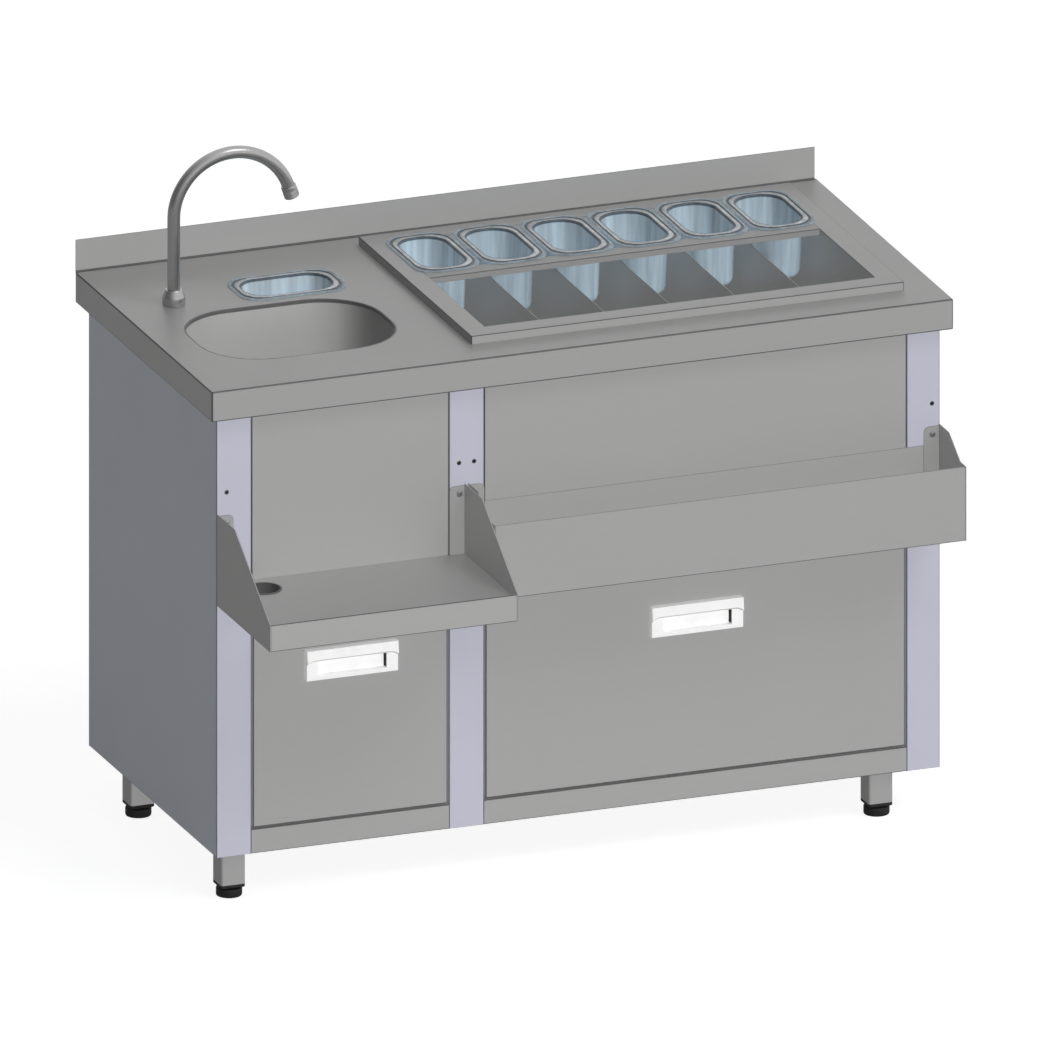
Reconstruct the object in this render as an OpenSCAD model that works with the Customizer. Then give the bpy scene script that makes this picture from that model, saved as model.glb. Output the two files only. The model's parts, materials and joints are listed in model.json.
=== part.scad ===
// Bar station: a stainless cabinet on four legs. Its top holds a sink, a swivel
// spout and a cold well with lift-out pans. Below are two drawers, and a shelf and
// a bottle rail hang on the front posts.
// Lengths are in millimetres. Unless a line says otherwise, x is measured to the
// right from the worktop's left edge, y to the back from its front edge, and z up
// from the floor. Each sub-part is moved to the model's own origin by place().

/* [Worktop] */
// Width of the worktop
top_w = 1230; // [1220:10:1500]
// Depth of the worktop
top_d = 600; // [600:10:760]
// Height of the worktop above the floor
top_h = 850; // [845:5:950]
// Height of the folded edge round the worktop
edge_h = 50; // [40:1:60]
// Width of the flange turned in under the folded edge
edge_return = 12; // [8:0.5:14]
// Height of the upstand along the back
splash_h = 53; // [30:1:120]
// Inside radius of the bend below the upstand
splash_r = 2; // [2:0.5:8]
// Distance of the upstand's right end from the worktop's right edge
splash_inset = 4; // [0:0.5:10]
// Thickness of the sheet that the top, sink, well, shelf and rail are folded from
sheet_t = 1.5; // [1:0.1:2]
// Thickness of the board that backs the top sheet
board_t = 18; // [12:1:25]

/* [Cabinet] */
// Overhang of the worktop at each side of the cabinet
side_overhang = 15; // [15:1:25]
// Overhang of the worktop at the front of the cabinet
front_overhang = 20; // [16:1:28]
// Overhang of the worktop at the back of the cabinet
back_overhang = 20; // [18:1:25]
// Height of the cabinet's lower edge above the floor
base_z = 75; // [65:1:95]
// Thickness of the cabinet's panels
panel_t = 1.5; // [1:0.1:2]
// Width of the left and the middle post
post_w = 58; // [52:1:62]
// Width of the right post
right_post_w = 55; // [45:1:62]
// Depth of the posts' folded sides
post_d = 30; // [26:1:34]
// Distance of the middle post's left edge from the well's frame
post_lead = 54; // [50:1:62]
// Height of the rails under the drawers
base_rail_h = 40; // [32:1:50]
// Height of the cabinet floor above the lower edge
floor_rise = 13; // [6:1:20]

/* [Legs] */
// Side of the square leg tube
leg_w = 40; // [30:1:45]
// Outer corner radius of the leg tube
leg_r = 4; // [2:0.5:6]
// Gap between the left legs and the left post's fold
leg_gap = 2.9; // [1:0.1:5]
// Distance of the right legs' axes from the cabinet's right side
leg_right = 92.4; // [60:0.2:140]
// Distance of the front legs' axes from the cabinet's front
leg_front = 33.6; // [33:0.2:60]
// Distance of the back legs' axes from the cabinet's back
leg_back = 128.4; // [60:0.2:160]
// Height of the foot below the tube's end
foot_h = 22; // [18:1:30]
// Diameter of the round foot
foot_d = 41; // [30:1:44]

/* [Drawers] */
// Distance of the drawer fronts' upper edge below the shelf
drawer_shelf_gap = 20; // [14:1:40]
// Gap round each drawer front
drawer_gap = 3; // [2:0.5:5]
// Depth of the folded drawer front
drawer_front_t = 18; // [14:1:24]
// Distance of the drawer box from the cabinet's back panel
box_back_gap = 57; // [20:1:120]
// Distance of the drawer box's upper edge below the drawer front's
box_drop = 85.5; // [60:0.5:180]
// Thickness of the drawer box's walls
box_t = 1.2; // [0.8:0.1:2]
// Width of a slide, channel and runner together
slide_t = 12.5; // [11:0.5:16]
// Height of a slide
slide_h = 45; // [35:1:60]
// Width of the handle
handle_w = 152; // [120:1:180]
// Height of the handle
handle_h = 50; // [44:1:60]
// How far the handle stands out of the drawer front
handle_proud = 14; // [12:0.5:20]
// Distance of the handle's upper edge below the drawer front's
handle_drop = 70; // [30:1:90]

/* [Shelf] */
// How far the shelf reaches in front of the cabinet
shelf_reach = 232; // [180:1:300]
// Distance of the shelf's surface below the spare holes
shelf_drop = 149; // [120:1:160]
// Height of the shelf's front edge
shelf_edge_h = 44; // [30:1:50]
// How far the front edge stands above the surface
shelf_lip = 8; // [4:0.5:12]
// Thickness of the shelf and rail brackets
bracket_t = 2; // [1.5:0.1:3]
// Width of the flange that screws a bracket to its post
bracket_flange = 25; // [20:0.5:26]
// Height of the brackets' upper edge above their upper screws
bracket_rise = 15; // [11:0.5:20]
// Length of the shelf bracket's level upper edge
bracket_top_w = 76; // [40:1:100]
// Diameter of the hole through the sleeve in the shelf
sleeve_d = 50; // [40:1:56]
// Length of the sleeve
sleeve_l = 42; // [20:1:60]
// Distance of the sleeve's axis from the shelf's left edge
sleeve_x = 60; // [45:1:90]
// Distance of the sleeve's axis from the front of the cabinet
sleeve_y = 47; // [45:1:90]

/* [Bottle rail] */
// How far the rail reaches in front of the cabinet
rail_reach = 117; // [95:1:140]
// Height of the rail's walls
rail_h = 122; // [100:1:140]
// Distance of the rail's lower edge below the spare holes
rail_drop = 189; // [185:1:195]
// Gap between the shelf and the rail on the middle post
rail_gap = 4; // [2:0.5:6]

/* [Post holes] */
// Radius of the threaded holes in the posts
hole_r = 3; // [2.1:0.05:3.4]
// Distance of the spare holes, the top row, below the worktop's surface
hole_drop = 175; // [160:1:185]
// Distance of the screws' upper row below the spare holes
hole_pitch = 50; // [46:1:52]
// Height of the screws' lower row above the shelf's lower edge
low_row_rise = 18; // [14:1:24]
// Distance of the left post's holes from the cabinet's left side
left_hole_inset = 17; // [14:0.5:20]
// Distance of the right post's holes from the cabinet's right side
right_hole_inset = 13; // [12:0.5:18]
// Distance between the middle post's two columns of holes
middle_hole_pitch = 25; // [23:0.5:28]

/* [Sink] */
// Place of the sink opening's left end
sink_x = 60; // [50:1:70]
// Place of the sink opening's front side
sink_y = 114; // [100:1:116]
// Distance between the sink opening and the well's frame
sink_gap = 78; // [70:1:110]
// Depth of the sink opening, front to back
sink_d = 239; // [220:1:240]
// Corner radius of the sink opening
sink_r = 96; // [60:1:105]
// Depth of the bowl below the worktop
sink_depth = 150; // [120:5:180]
// Diameter of the waste pipes
waste_d = 32; // [28:1:40]

/* [Spout] */
// Place of the spout's axis, to the right
spout_x = 89; // [70:1:95]
// Distance of the spout's axis behind the sink opening
spout_gap = 50; // [42:1:90]
// Diameter of the spout's tube
tube_d = 20; // [18:0.5:22]
// Wall of the spout's tube
tube_t = 1.5; // [1:0.1:3]
// Height of the straight part of the spout above the worktop
spout_rise = 141; // [120:1:200]
// Radius of the spout's arch, to the tube's middle
arch_r = 97.5; // [80:0.5:110]
// Sweep of the arch in degrees
arch_sweep = 161; // [150:1:180]
// Length of the nozzle at the spout's end
nozzle_l = 20; // [16:1:28]
// Diameter of the nozzle
nozzle_d = 24; // [23:0.5:28]

/* [Cold well] */
// Place of the well frame's left edge
well_x = 455; // [440:1:470]
// Place of the well frame's front edge
well_y = 65; // [55:1:75]
// Distance of the well frame from the worktop's right edge
well_right = 57; // [45:1:70]
// Distance of the well frame from the worktop's back edge
well_back = 39; // [30:1:60]
// Height of the well frame above the worktop
frame_h = 14; // [12:0.5:20]
// Width of the well frame's border
frame_border = 35; // [32:0.5:36]
// Number of cells across the well
cells = 6;
// Depth of the well below the worktop
well_depth = 300; // [240:5:310]
// Thickness of the insulation round the well
foam_t = 32; // [20:1:32]
// Depth of the divider plates' upper edges below the worktop
divider_drop = 4; // [2:0.5:10]
// Thickness of the divider plates
divider_t = 1.5; // [1:0.1:2]
// Width of the cross bar
bar_w = 30; // [20:1:40]
// Height of the cross bar
bar_h = 10; // [8:0.5:12]

/* [Pans] */
// Length of a pan's rim; its width is a cell's
rim_l = 176; // [150:0.5:200]
// Thickness of a pan's rim
rim_t = 2; // [1.5:0.1:3]
// How far a pan's rim stands out at the sides
side_ledge = 14; // [9:0.1:16]
// How far a pan's rim stands out at the ends
end_ledge = 15; // [10:0.1:18]
// How much narrower each side of a pan is at the bottom
pan_taper = 3; // [2:0.5:10]
// Depth of a pan below the rim's underside
pan_depth = 93; // [65:1:150]
// Wall of a pan
pan_t = 1.5; // [1.2:0.1:2.5]
// Gap between the rims of neighbouring pans
pan_gap = 3.5; // [1:0.1:4]
// Distance of the single pan's middle from the well's frame
side_pan_gap = 170.5; // [160:0.5:200]
// Distance of the single pan's middle behind the sink opening
side_pan_back = 72.4; // [68:0.2:90]

/* [Hidden] */

// Smoothness of round surfaces, and of the corners that are drawn as short flats
$fn = 48;
corner_steps = 6;
// Overrun of every cut past the face it opens
over = 1;
// Play of a part that slides in or through another
play = 0.3;
// Running clearance of a shaft in its bearing
running = 0.08;
// Gap that shows as a seam between neighbouring panels
seam = 0.5;

// Finishes
steel = [0.61, 0.61, 0.60];
sheet_grey = [0.63, 0.63, 0.62];
post_lilac = [0.72, 0.72, 0.79];
side_blue = [0.48, 0.49, 0.53];
pan_blue = [0.66, 0.75, 0.80, 0.6];
white_plastic = [0.95, 0.95, 0.95];
black_plastic = [0.06, 0.06, 0.06];
zinc = [0.70, 0.71, 0.72];
foam_yellow = [0.85, 0.80, 0.62];
board_brown = [0.62, 0.52, 0.38];

// Sizes that follow from those of the neighbours
hole_top_z = top_h - hole_drop;
shelf_z = hole_top_z - shelf_drop;
rail_z = hole_top_z - rail_drop;
bracket_top_z = hole_top_z - hole_pitch + bracket_rise;
drawer_top_z = shelf_z + shelf_lip - shelf_edge_h - drawer_shelf_gap;
middle_post_x = well_x - post_lead;
leg_left = post_w - panel_t - leg_gap - leg_w / 2;
sink_w = well_x - sink_gap - sink_x;
sink_back = sink_y + sink_d;
spout_y = sink_back + spout_gap;
cell_w = (top_w - well_right - well_x - 2 * frame_border) / cells;
well_d = top_d - well_back - well_y - 2 * frame_border;
rim_w = cell_w;
pan_w = rim_w - 2 * side_ledge;
pan_l = rim_l - 2 * end_ledge;
pan_pitch = cell_w + pan_gap;
side_pan_x = well_x - side_pan_gap;
side_pan_y = sink_back + side_pan_back;

// The model's origin is in the middle of its footprint, on the floor
shelf_out = shelf_reach - front_overhang;
origin = [-top_w / 2, -(top_d - shelf_out) / 2, 0];

// Levels and planes of the cabinet
deck_z = top_h - sheet_t;
board_z = deck_z - board_t;
edge_z = top_h - edge_h;
cab_left = side_overhang;
cab_right = top_w - side_overhang;
cab_front = front_overhang;
cab_back = top_d - back_overhang;
inner_back = cab_back - panel_t;
floor_z = base_z + floor_rise;
floor_top = floor_z + panel_t;
panel_flange = leg_left - leg_w / 2 - panel_t - 2 * seam;

// Bays between the posts: [left edge, right edge]
middle_x = middle_post_x + post_w / 2;
left_bay = [cab_left + post_w, middle_post_x];
right_bay = [middle_post_x + post_w, cab_right - right_post_w];

// Drawer fronts and boxes
drawer_bottom_z = base_z + base_rail_h + drawer_gap;
fascia_gap = 4;
fascia_z = drawer_top_z + fascia_gap;
box_rise = 16.5;
box_z = drawer_bottom_z + box_rise;
box_h = drawer_top_z - box_drop - box_z;
box_d = inner_back - box_back_gap - cab_front - panel_t;
channel_y = cab_front + drawer_front_t + drawer_gap;
slide_z = box_z + box_h / 3;
slide_wall = 1.5;
slide_gap = 2;

// Handle: a hooded cup
handle_side = 20;
handle_foot = 8;
handle_hood = 16;
handle_mouth_h = handle_h - handle_hood - handle_foot;
handle_wall = 2;
handle_setback = 4;

// Shelf, rail and their screws
shelf_x = [cab_left + 1, middle_x - rail_gap / 2];
rail_x = [middle_x + rail_gap / 2, cab_right];
shelf_low_z = shelf_z + shelf_lip - shelf_edge_h;
shelf_top_z = shelf_z + shelf_lip;
rail_top_z = rail_z + rail_h;
bracket_front = cab_front - bracket_t;
flange_corner = 9;
rail_slope_share = 0.36;
rail_step = 25;
screw_rows = [hole_top_z - hole_pitch, shelf_low_z + low_row_rise];
hole_rows = concat([hole_top_z], screw_rows);
left_hole_x = cab_left + left_hole_inset;
right_hole_x = cab_right - right_hole_inset;
middle_holes_x = [middle_x - middle_hole_pitch / 2, middle_x + middle_hole_pitch / 2];
nut_r = 4.8;
nut_t = 9;
thread_gap = 0.1;
screw_r = hole_r - thread_gap;
screw_head_r = 1.75 * screw_r;
screw_head_h = 2.8;
screw_tip = 2;
screw_l = bracket_t + panel_t + nut_t + screw_tip;

// Sink, waste and water
sink_mid = [sink_x + sink_w / 2, sink_y + sink_d / 2];
bowl_floor = top_h - sink_depth;
bowl_flange = 10;
waste_r = waste_d / 2;
waste_flange_r = 35;
waste_flange_t = 2;
waste_neck_r = 25;
waste_neck_l = 38;
trap_r = 32;
trap_h = 96;
trap_neck_l = 14;
trap_out_drop = 30;
pipe_wall = 2;
pipe_back = 2;
pipe_end = top_d - pipe_back;
trap_spigot = 14;
collar = 6;

// Faucet
base_r = 18;
base_h = 15;
base_cone_h = 11;
neck_wall = 3;
base_neck_r = tube_d / 2 + neck_wall;
spout_seat = 6;
shank_r = 12;
shank_l = 62;
shank_bore_r = 6;
deck_hole_r = shank_r + seam;
backnut_r = 20;
backnut_h = 9;
supply_r = 6;
supply_bend = 30;
supply_drop = 150;
union_r = 10.5;

// Well
frame_w = cells * cell_w + 2 * frame_border;
frame_d = well_d + 2 * frame_border;
frame_t = 2;
opening_x = well_x + frame_border;
opening_y = well_y + frame_border;
opening_w = cells * cell_w;
well_mid_x = opening_x + opening_w / 2;
frame_z = top_h + frame_h;
liner_top = frame_z - frame_t;
liner_floor = top_h - well_depth;
cutout_gap = 1;
casing_t = 1;
casing_flange = 12;
foam_floor = liner_floor - sheet_t - foam_t + casing_t;
grid_h = 20;
grid_t = 2;
grid_slot_w = 8;
grid_slot_l = 50;
grid_rows = 6;
grid_play = 1;
drain_inset = 36;
drain_y = opening_y + well_d - drain_inset;
drain_r = 12.5;
drain_bend = 22;

// Pans in the well: their middle is set so that the body clears the well's back
pan_clear = 4;
pan_mid_y = opening_y + well_d - pan_clear - pan_l / 2;
pan_rim_r = 30;
pan_corner_r = min(36, pan_w / 2 - pan_taper - seam);
pan_cutout = 1;

// Feet
plug_l = 18;
collar_h = 5;
leg_wall = 1.5;

// Points of a rounded rectangle whose low corner is at the origin
function rounded(w, d, r) = [
    for (q = [0:3])
        let (cx = (q == 0 || q == 3) ? w - r : r, cy = q < 2 ? d - r : r)
        for (i = [0:corner_steps])
            let (a = 90 * (q + i / corner_steps))
            [cx + r * cos(a), cy + r * sin(a)]];

// Moves a sub-part drawn from the worktop's front left corner to the model's origin
module place() {
    translate(origin) children();
}

// Block between two opposite corners
module block(low, high) {
    translate(low) cube(high - low);
}

// Upright prism on a rounded rectangle between two corners of a block
module slab(low, high, r) {
    translate(low) linear_extrude(high[2] - low[2])
        polygon(rounded(high[0] - low[0], high[1] - low[1], r));
}

// Plate that stands across the cabinet: a profile of [y, z] points, from x for t
module side_plate(x, t, points) {
    translate([x, 0, 0]) rotate([90, 0, 90]) linear_extrude(t) polygon(points);
}

// Cylinder along y between two planes
module along_y(x, z, y1, y2, r) {
    translate([x, y1, z]) rotate([-90, 0, 0]) cylinder(r = r, h = y2 - y1);
}

// Tray with an open back: a face in the xz plane with its four edges folded back
module folded_front(x1, x2, z1, z2, depth, t) {
    difference() {
        block([x1, cab_front, z1], [x2, cab_front + depth, z2]);
        block([x1 + t, cab_front + t, z1 + t], [x2 - t, cab_front + depth + over, z2 - t]);
    }
}

// Worktop, one folded sheet with the upstand, and what fills and hangs under it

module sink_outline(grow, z1, z2) {
    slab([sink_x - grow, sink_y - grow, z1], [sink_x + sink_w + grow, sink_y + sink_d + grow, z2],
         sink_r + grow);
}

module well_hole(grow, z1, z2) {
    block([opening_x - grow, opening_y - grow, z1],
          [opening_x + opening_w + grow, opening_y + well_d + grow, z2]);
}

module pan_hole(z1, z2) {
    slab([side_pan_x - pan_l / 2 - pan_cutout, side_pan_y - pan_w / 2 - pan_cutout, z1],
         [side_pan_x + pan_l / 2 + pan_cutout, side_pan_y + pan_w / 2 + pan_cutout, z2],
         pan_corner_r);
}

// Section of the upstand and its bend, as [y, z]
function splash_points() = concat(
    [[top_d, deck_z], [top_d, top_h + splash_h], [top_d - sheet_t, top_h + splash_h]],
    [for (i = [0:corner_steps])
        let (a = 90 * i / corner_steps)
        [top_d - sheet_t - splash_r + splash_r * cos(a), top_h + splash_r - splash_r * sin(a)]],
    [[top_d - sheet_t - splash_r, deck_z]]);

module worktop() {
    color(steel) place() {
        difference() {
            union() {
                block([0, 0, edge_z], [top_w, top_d, top_h]);
                side_plate(0, top_w - splash_inset, splash_points());
            }
            block([sheet_t, sheet_t, edge_z + sheet_t],
                  [top_w - sheet_t, top_d - sheet_t, deck_z]);
            block([edge_return, edge_return, edge_z - over],
                  [top_w - edge_return, top_d - edge_return, edge_z + sheet_t + over]);
            sink_outline(0, edge_z, top_h + over);
            well_hole(sheet_t + cutout_gap, edge_z + over, top_h + over);
            pan_hole(edge_z + over, top_h + over);
            translate([spout_x, spout_y, deck_z - over])
                cylinder(r = deck_hole_r, h = sheet_t + 2 * over);
        }
    }
}

module backing_board() {
    color(board_brown) place() {
        difference() {
            block([sheet_t, sheet_t, board_z], [top_w - sheet_t, top_d - sheet_t, deck_z]);
            sink_outline(bowl_flange + cutout_gap, board_z - over, deck_z + over);
            well_hole(sheet_t + cutout_gap, board_z - over, deck_z + over);
            pan_hole(board_z - over, deck_z + over);
            translate([spout_x, spout_y, board_z - over])
                cylinder(r = deck_hole_r, h = board_t + 2 * over);
        }
    }
}

module sink_bowl() {
    color(steel) place() {
        difference() {
            union() {
                sink_outline(sheet_t, bowl_floor - sheet_t, deck_z);
                sink_outline(bowl_flange, deck_z - sheet_t, deck_z);
            }
            sink_outline(0, bowl_floor, deck_z + over);
            translate([sink_mid[0], sink_mid[1], bowl_floor - sheet_t - over])
                cylinder(r = waste_neck_r + play, h = sheet_t + 2 * over);
        }
    }
}

// Waste: a flange with a cross of slots in the bowl, and its threaded neck below
module sink_waste() {
    slot_w = waste_neck_r / 5;
    color(zinc) place() translate([sink_mid[0], sink_mid[1], bowl_floor]) {
        difference() {
            union() {
                cylinder(r = waste_flange_r, h = waste_flange_t);
                translate([0, 0, -waste_neck_l]) cylinder(r = waste_neck_r, h = waste_neck_l);
            }
            translate([0, 0, -waste_neck_l - over])
                cylinder(r = waste_neck_r - pipe_wall, h = waste_neck_l + over);
            for (i = [-1:1]) translate([-waste_neck_r * 0.6, (2 * i - 0.5) * slot_w, -over])
                cube([waste_neck_r * 1.2, slot_w, waste_flange_t + 2 * over]);
        }
        translate([0, 0, -sheet_t - backnut_h]) difference() {
            cylinder(r = waste_neck_r + collar, h = backnut_h);
            translate([0, 0, -over]) cylinder(r = waste_neck_r - over, h = backnut_h + 2 * over);
        }
    }
}

// Bottle trap: a cup on the neck, with its outlet at the back
trap_top = bowl_floor - waste_neck_l;
trap_cup_top = trap_top - trap_neck_l;
waste_z = trap_cup_top - trap_out_drop;
trap_out_y = sink_mid[1] + trap_r + trap_spigot;

module bottle_trap() {
    color(white_plastic) place() difference() {
        union() {
            translate([sink_mid[0], sink_mid[1], trap_cup_top - trap_h]) cylinder(r = trap_r, h = trap_h);
            translate([sink_mid[0], sink_mid[1], trap_cup_top]) cylinder(r = waste_r, h = trap_neck_l);
            along_y(sink_mid[0], waste_z, sink_mid[1], trap_out_y, waste_r + collar);
        }
        translate([sink_mid[0], sink_mid[1], trap_cup_top - trap_h + pipe_wall])
            cylinder(r = trap_r - pipe_wall, h = trap_h - 2 * pipe_wall);
        translate([sink_mid[0], sink_mid[1], trap_cup_top - 2 * pipe_wall])
            cylinder(r = waste_r - pipe_wall, h = trap_neck_l + 2 * pipe_wall + over);
        along_y(sink_mid[0], waste_z, sink_mid[1], trap_out_y + over, waste_r - pipe_wall);
    }
}

// Rod that runs down from z1 at (x, y), bends and runs back along y to y2 at level z
module elbow_rod(x, y, z1, z, y2, bend, r) {
    translate([x, y, z + bend]) cylinder(r = r, h = z1 - z - bend);
    translate([x, y + bend, z + bend]) rotate([90, 0, 90]) rotate(180)
        rotate_extrude(angle = 90) translate([bend, 0]) circle(r = r);
    along_y(x, z, y + bend, y2, r);
}

module waste_pipe() {
    color(white_plastic) place() difference() {
        along_y(sink_mid[0], waste_z, trap_out_y, pipe_end, waste_r);
        along_y(sink_mid[0], waste_z, trap_out_y - over, pipe_end + over, waste_r - pipe_wall);
    }
}

// Faucet: a fixed base and shank, with the spout turning in the base

module faucet_base() {
    color(zinc) place() translate([spout_x, spout_y, top_h]) difference() {
        union() {
            cylinder(r = base_r, h = base_h);
            translate([0, 0, base_h]) cylinder(r1 = base_r, r2 = base_neck_r, h = base_cone_h);
            translate([0, 0, -shank_l]) cylinder(r = shank_r, h = shank_l);
        }
        translate([0, 0, spout_seat]) cylinder(r = tube_d / 2 + running, h = base_h + base_cone_h);
        translate([0, 0, -shank_l - over]) cylinder(r = shank_bore_r, h = shank_l + spout_seat + 2 * over);
    }
}

module faucet_backnut() {
    color(zinc) place() translate([spout_x, spout_y, board_z - backnut_h]) difference() {
        cylinder(r = backnut_r, h = backnut_h, $fn = 6);
        translate([0, 0, -over]) cylinder(r = shank_r + play, h = backnut_h + 2 * over);
    }
}

supply_top = top_h - shank_l;
supply_z = supply_top - supply_drop;

module supply_pipe() {
    color(zinc) place() {
        elbow_rod(spout_x, spout_y, supply_top, supply_z, inner_back, supply_bend, supply_r);
        along_y(spout_x, supply_z, inner_back, pipe_end, union_r);
    }
}

// Straight tube and an arch to the right, as a rod whose lower end is cut_low
// below the spout's and whose far end is cut_sweep degrees past it
module arch_rod(r, cut_low, cut_sweep) {
    z1 = top_h + spout_seat + play - cut_low;
    z2 = top_h + spout_rise;
    translate([spout_x, spout_y, z1]) cylinder(r = r, h = z2 - z1);
    translate([spout_x + arch_r, spout_y, z2]) rotate([90, 0, 0]) mirror([1, 0, 0])
        rotate_extrude(angle = arch_sweep + cut_sweep) translate([arch_r, 0]) circle(r = r);
}

module spout() {
    color(zinc) place() difference() {
        arch_rod(tube_d / 2, 0, 0);
        arch_rod(tube_d / 2 - tube_t, over, over);
    }
}

module aerator() {
    z2 = top_h + spout_rise;
    color(zinc) place() translate([spout_x + arch_r - arch_r * cos(arch_sweep), spout_y,
                                   z2 + arch_r * sin(arch_sweep)])
        rotate([0, arch_sweep, 0]) difference() {
            cylinder(r = nozzle_d / 2, h = nozzle_l);
            translate([0, 0, -over]) cylinder(r = tube_d / 2 - tube_t, h = nozzle_l + 2 * over);
        }
}

// Cold well: raised frame, liner, insulation and casing round the cells

module well_frame() {
    color(steel) place() difference() {
        block([well_x, well_y, top_h], [well_x + frame_w, well_y + frame_d, frame_z]);
        block([well_x + frame_t, well_y + frame_t, top_h - over],
              [well_x + frame_w - frame_t, well_y + frame_d - frame_t, liner_top]);
        well_hole(0, top_h - over, frame_z + over);
    }
}

module well_bar() {
    bar_back = pan_mid_y - pan_l / 2 - pan_clear;
    bar_front = bar_back - bar_w;
    color(steel) place() difference() {
        block([opening_x, bar_front, frame_z - bar_h], [opening_x + opening_w, bar_back, frame_z]);
        block([opening_x - over, bar_front + sheet_t, frame_z - bar_h - over],
              [opening_x + opening_w + over, bar_back - sheet_t, frame_z - sheet_t]);
    }
}

module well_liner() {
    color(steel) place() difference() {
        well_hole(sheet_t, liner_floor - sheet_t, liner_top);
        well_hole(0, liner_floor, liner_top + over);
        translate([well_mid_x, drain_y, liner_floor - sheet_t - over])
            cylinder(r = drain_r, h = sheet_t + 2 * over);
    }
}

module well_insulation() {
    color(foam_yellow) place() difference() {
        block([well_x + casing_t, well_y + casing_t, foam_floor],
              [well_x + frame_w - casing_t, well_y + frame_d - casing_t, board_z]);
        well_hole(sheet_t, liner_floor - sheet_t, board_z + over);
        translate([well_mid_x, drain_y, foam_floor - over])
            cylinder(r = drain_r + play, h = foam_t + 2 * over);
    }
}

module well_casing() {
    color(zinc) place() difference() {
        union() {
            block([well_x, well_y, foam_floor - casing_t],
                  [well_x + frame_w, well_y + frame_d, board_z]);
            block([well_x - casing_flange, well_y, board_z - casing_t],
                  [well_x + frame_w + casing_flange, well_y + frame_d, board_z]);
        }
        block([well_x + casing_t, well_y + casing_t, foam_floor],
              [well_x + frame_w - casing_t, well_y + frame_d - casing_t, board_z + over]);
        translate([well_mid_x, drain_y, foam_floor - casing_t - over])
            cylinder(r = drain_r + play, h = casing_t + 2 * over);
    }
}

// Slotted false floor that lets melt water through, folded down at its edges
module well_floor_grid() {
    grid_top = liner_floor + grid_h;
    slot_pitch = well_d / (grid_rows + 1);
    color(steel) place() difference() {
        well_hole(-grid_play, liner_floor, grid_top);
        well_hole(-grid_play - grid_t, liner_floor - over, grid_top - grid_t);
        for (i = [0:cells - 1]) for (j = [1:grid_rows])
            translate([opening_x + (i + 0.5) * cell_w - grid_slot_l / 2,
                       opening_y + j * slot_pitch - grid_slot_w / 2, grid_top - grid_t - over])
                cube([grid_slot_l, grid_slot_w, grid_t + 2 * over]);
    }
}

module well_dividers() {
    color(steel) place() for (i = [1:cells - 1])
        block([opening_x + i * cell_w - divider_t / 2, opening_y, liner_floor + grid_h],
              [opening_x + i * cell_w + divider_t / 2, opening_y + well_d, top_h - divider_drop]);
}

drain_z = foam_floor - casing_t - drain_r - drain_bend;

module well_drain() {
    color(zinc) place() difference() {
        union() {
            elbow_rod(well_mid_x, drain_y, liner_floor, drain_z, pipe_end, drain_bend, drain_r);
            translate([well_mid_x, drain_y, liner_floor]) cylinder(r = 2 * drain_r, h = sheet_t);
        }
        elbow_rod(well_mid_x, drain_y, liner_floor + sheet_t + over, drain_z, pipe_end + over,
                  drain_bend, drain_r - pipe_wall);
    }
}

// Pans: a level rim and a body that narrows towards the bottom

// Body of a pan with its top at z = 0, shrunk by a wall
module pan_body(w, l, depth, wall) {
    w2 = w / 2 - wall;
    l2 = l / 2 - wall;
    r = pan_corner_r - wall;
    share = 1 - pan_taper / w2;
    hull() {
        translate([-w2, -l2, -over / 100]) linear_extrude(over / 100)
            polygon(rounded(2 * w2, 2 * l2, r));
        translate([-w2 + pan_taper, -l2 + pan_taper, -depth + wall])
            linear_extrude(over / 100)
            polygon(rounded(2 * (w2 - pan_taper), 2 * (l2 - pan_taper), r));
    }
}

// Pan with the rim's underside at z = 0 and its length along y
module pan() {
    difference() {
        union() {
            slab([-rim_w / 2, -rim_l / 2, 0], [rim_w / 2, rim_l / 2, rim_t], pan_rim_r);
            pan_body(pan_w, pan_l, pan_depth, 0);
        }
        pan_body(pan_w, pan_l, pan_depth, pan_t);
        slab([-pan_w / 2 + pan_t, -pan_l / 2 + pan_t, -over / 100],
             [pan_w / 2 - pan_t, pan_l / 2 - pan_t, rim_t + over], pan_corner_r - pan_t);
    }
}

module well_pan(i) {
    color(pan_blue) place()
        translate([well_mid_x + (i - (cells + 1) / 2) * pan_pitch, pan_mid_y, frame_z]) pan();
}

module garnish_pan() {
    color(pan_blue) place() translate([side_pan_x, side_pan_y, top_h]) rotate(90) pan();
}

// Cabinet: panels, posts, fascias and rails

module side_panel(x, inward) {
    low_y = cab_front + panel_t;
    edge = x + (inward > 0 ? panel_t : 0);
    block([x, low_y, base_z], [x + panel_t, cab_back, board_z]);
    for (z = [base_z, board_z - panel_t])
        block([min(edge, edge + inward * panel_flange), cab_front + post_d + seam, z],
              [max(edge, edge + inward * panel_flange), inner_back, z + panel_t]);
}

module left_side_panel() {
    color(side_blue) place() side_panel(cab_left, 1);
}

module right_side_panel() {
    color(side_blue) place() side_panel(cab_right - panel_t, -1);
}

module back_panel() {
    color(sheet_grey) place() difference() {
        block([cab_left + panel_t, inner_back, base_z], [cab_right - panel_t, cab_back, board_z]);
        along_y(sink_mid[0], waste_z, inner_back - over, cab_back + over, waste_r + play);
        along_y(spout_x, supply_z, inner_back - over, cab_back + over, union_r + play);
        along_y(well_mid_x, drain_z, inner_back - over, cab_back + over, drain_r + play);
    }
}

module bottom_panel() {
    color(sheet_grey) place()
        block([cab_left + panel_t, cab_front + post_d + seam, floor_z],
              [cab_right - panel_t, inner_back, floor_top]);
}

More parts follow.
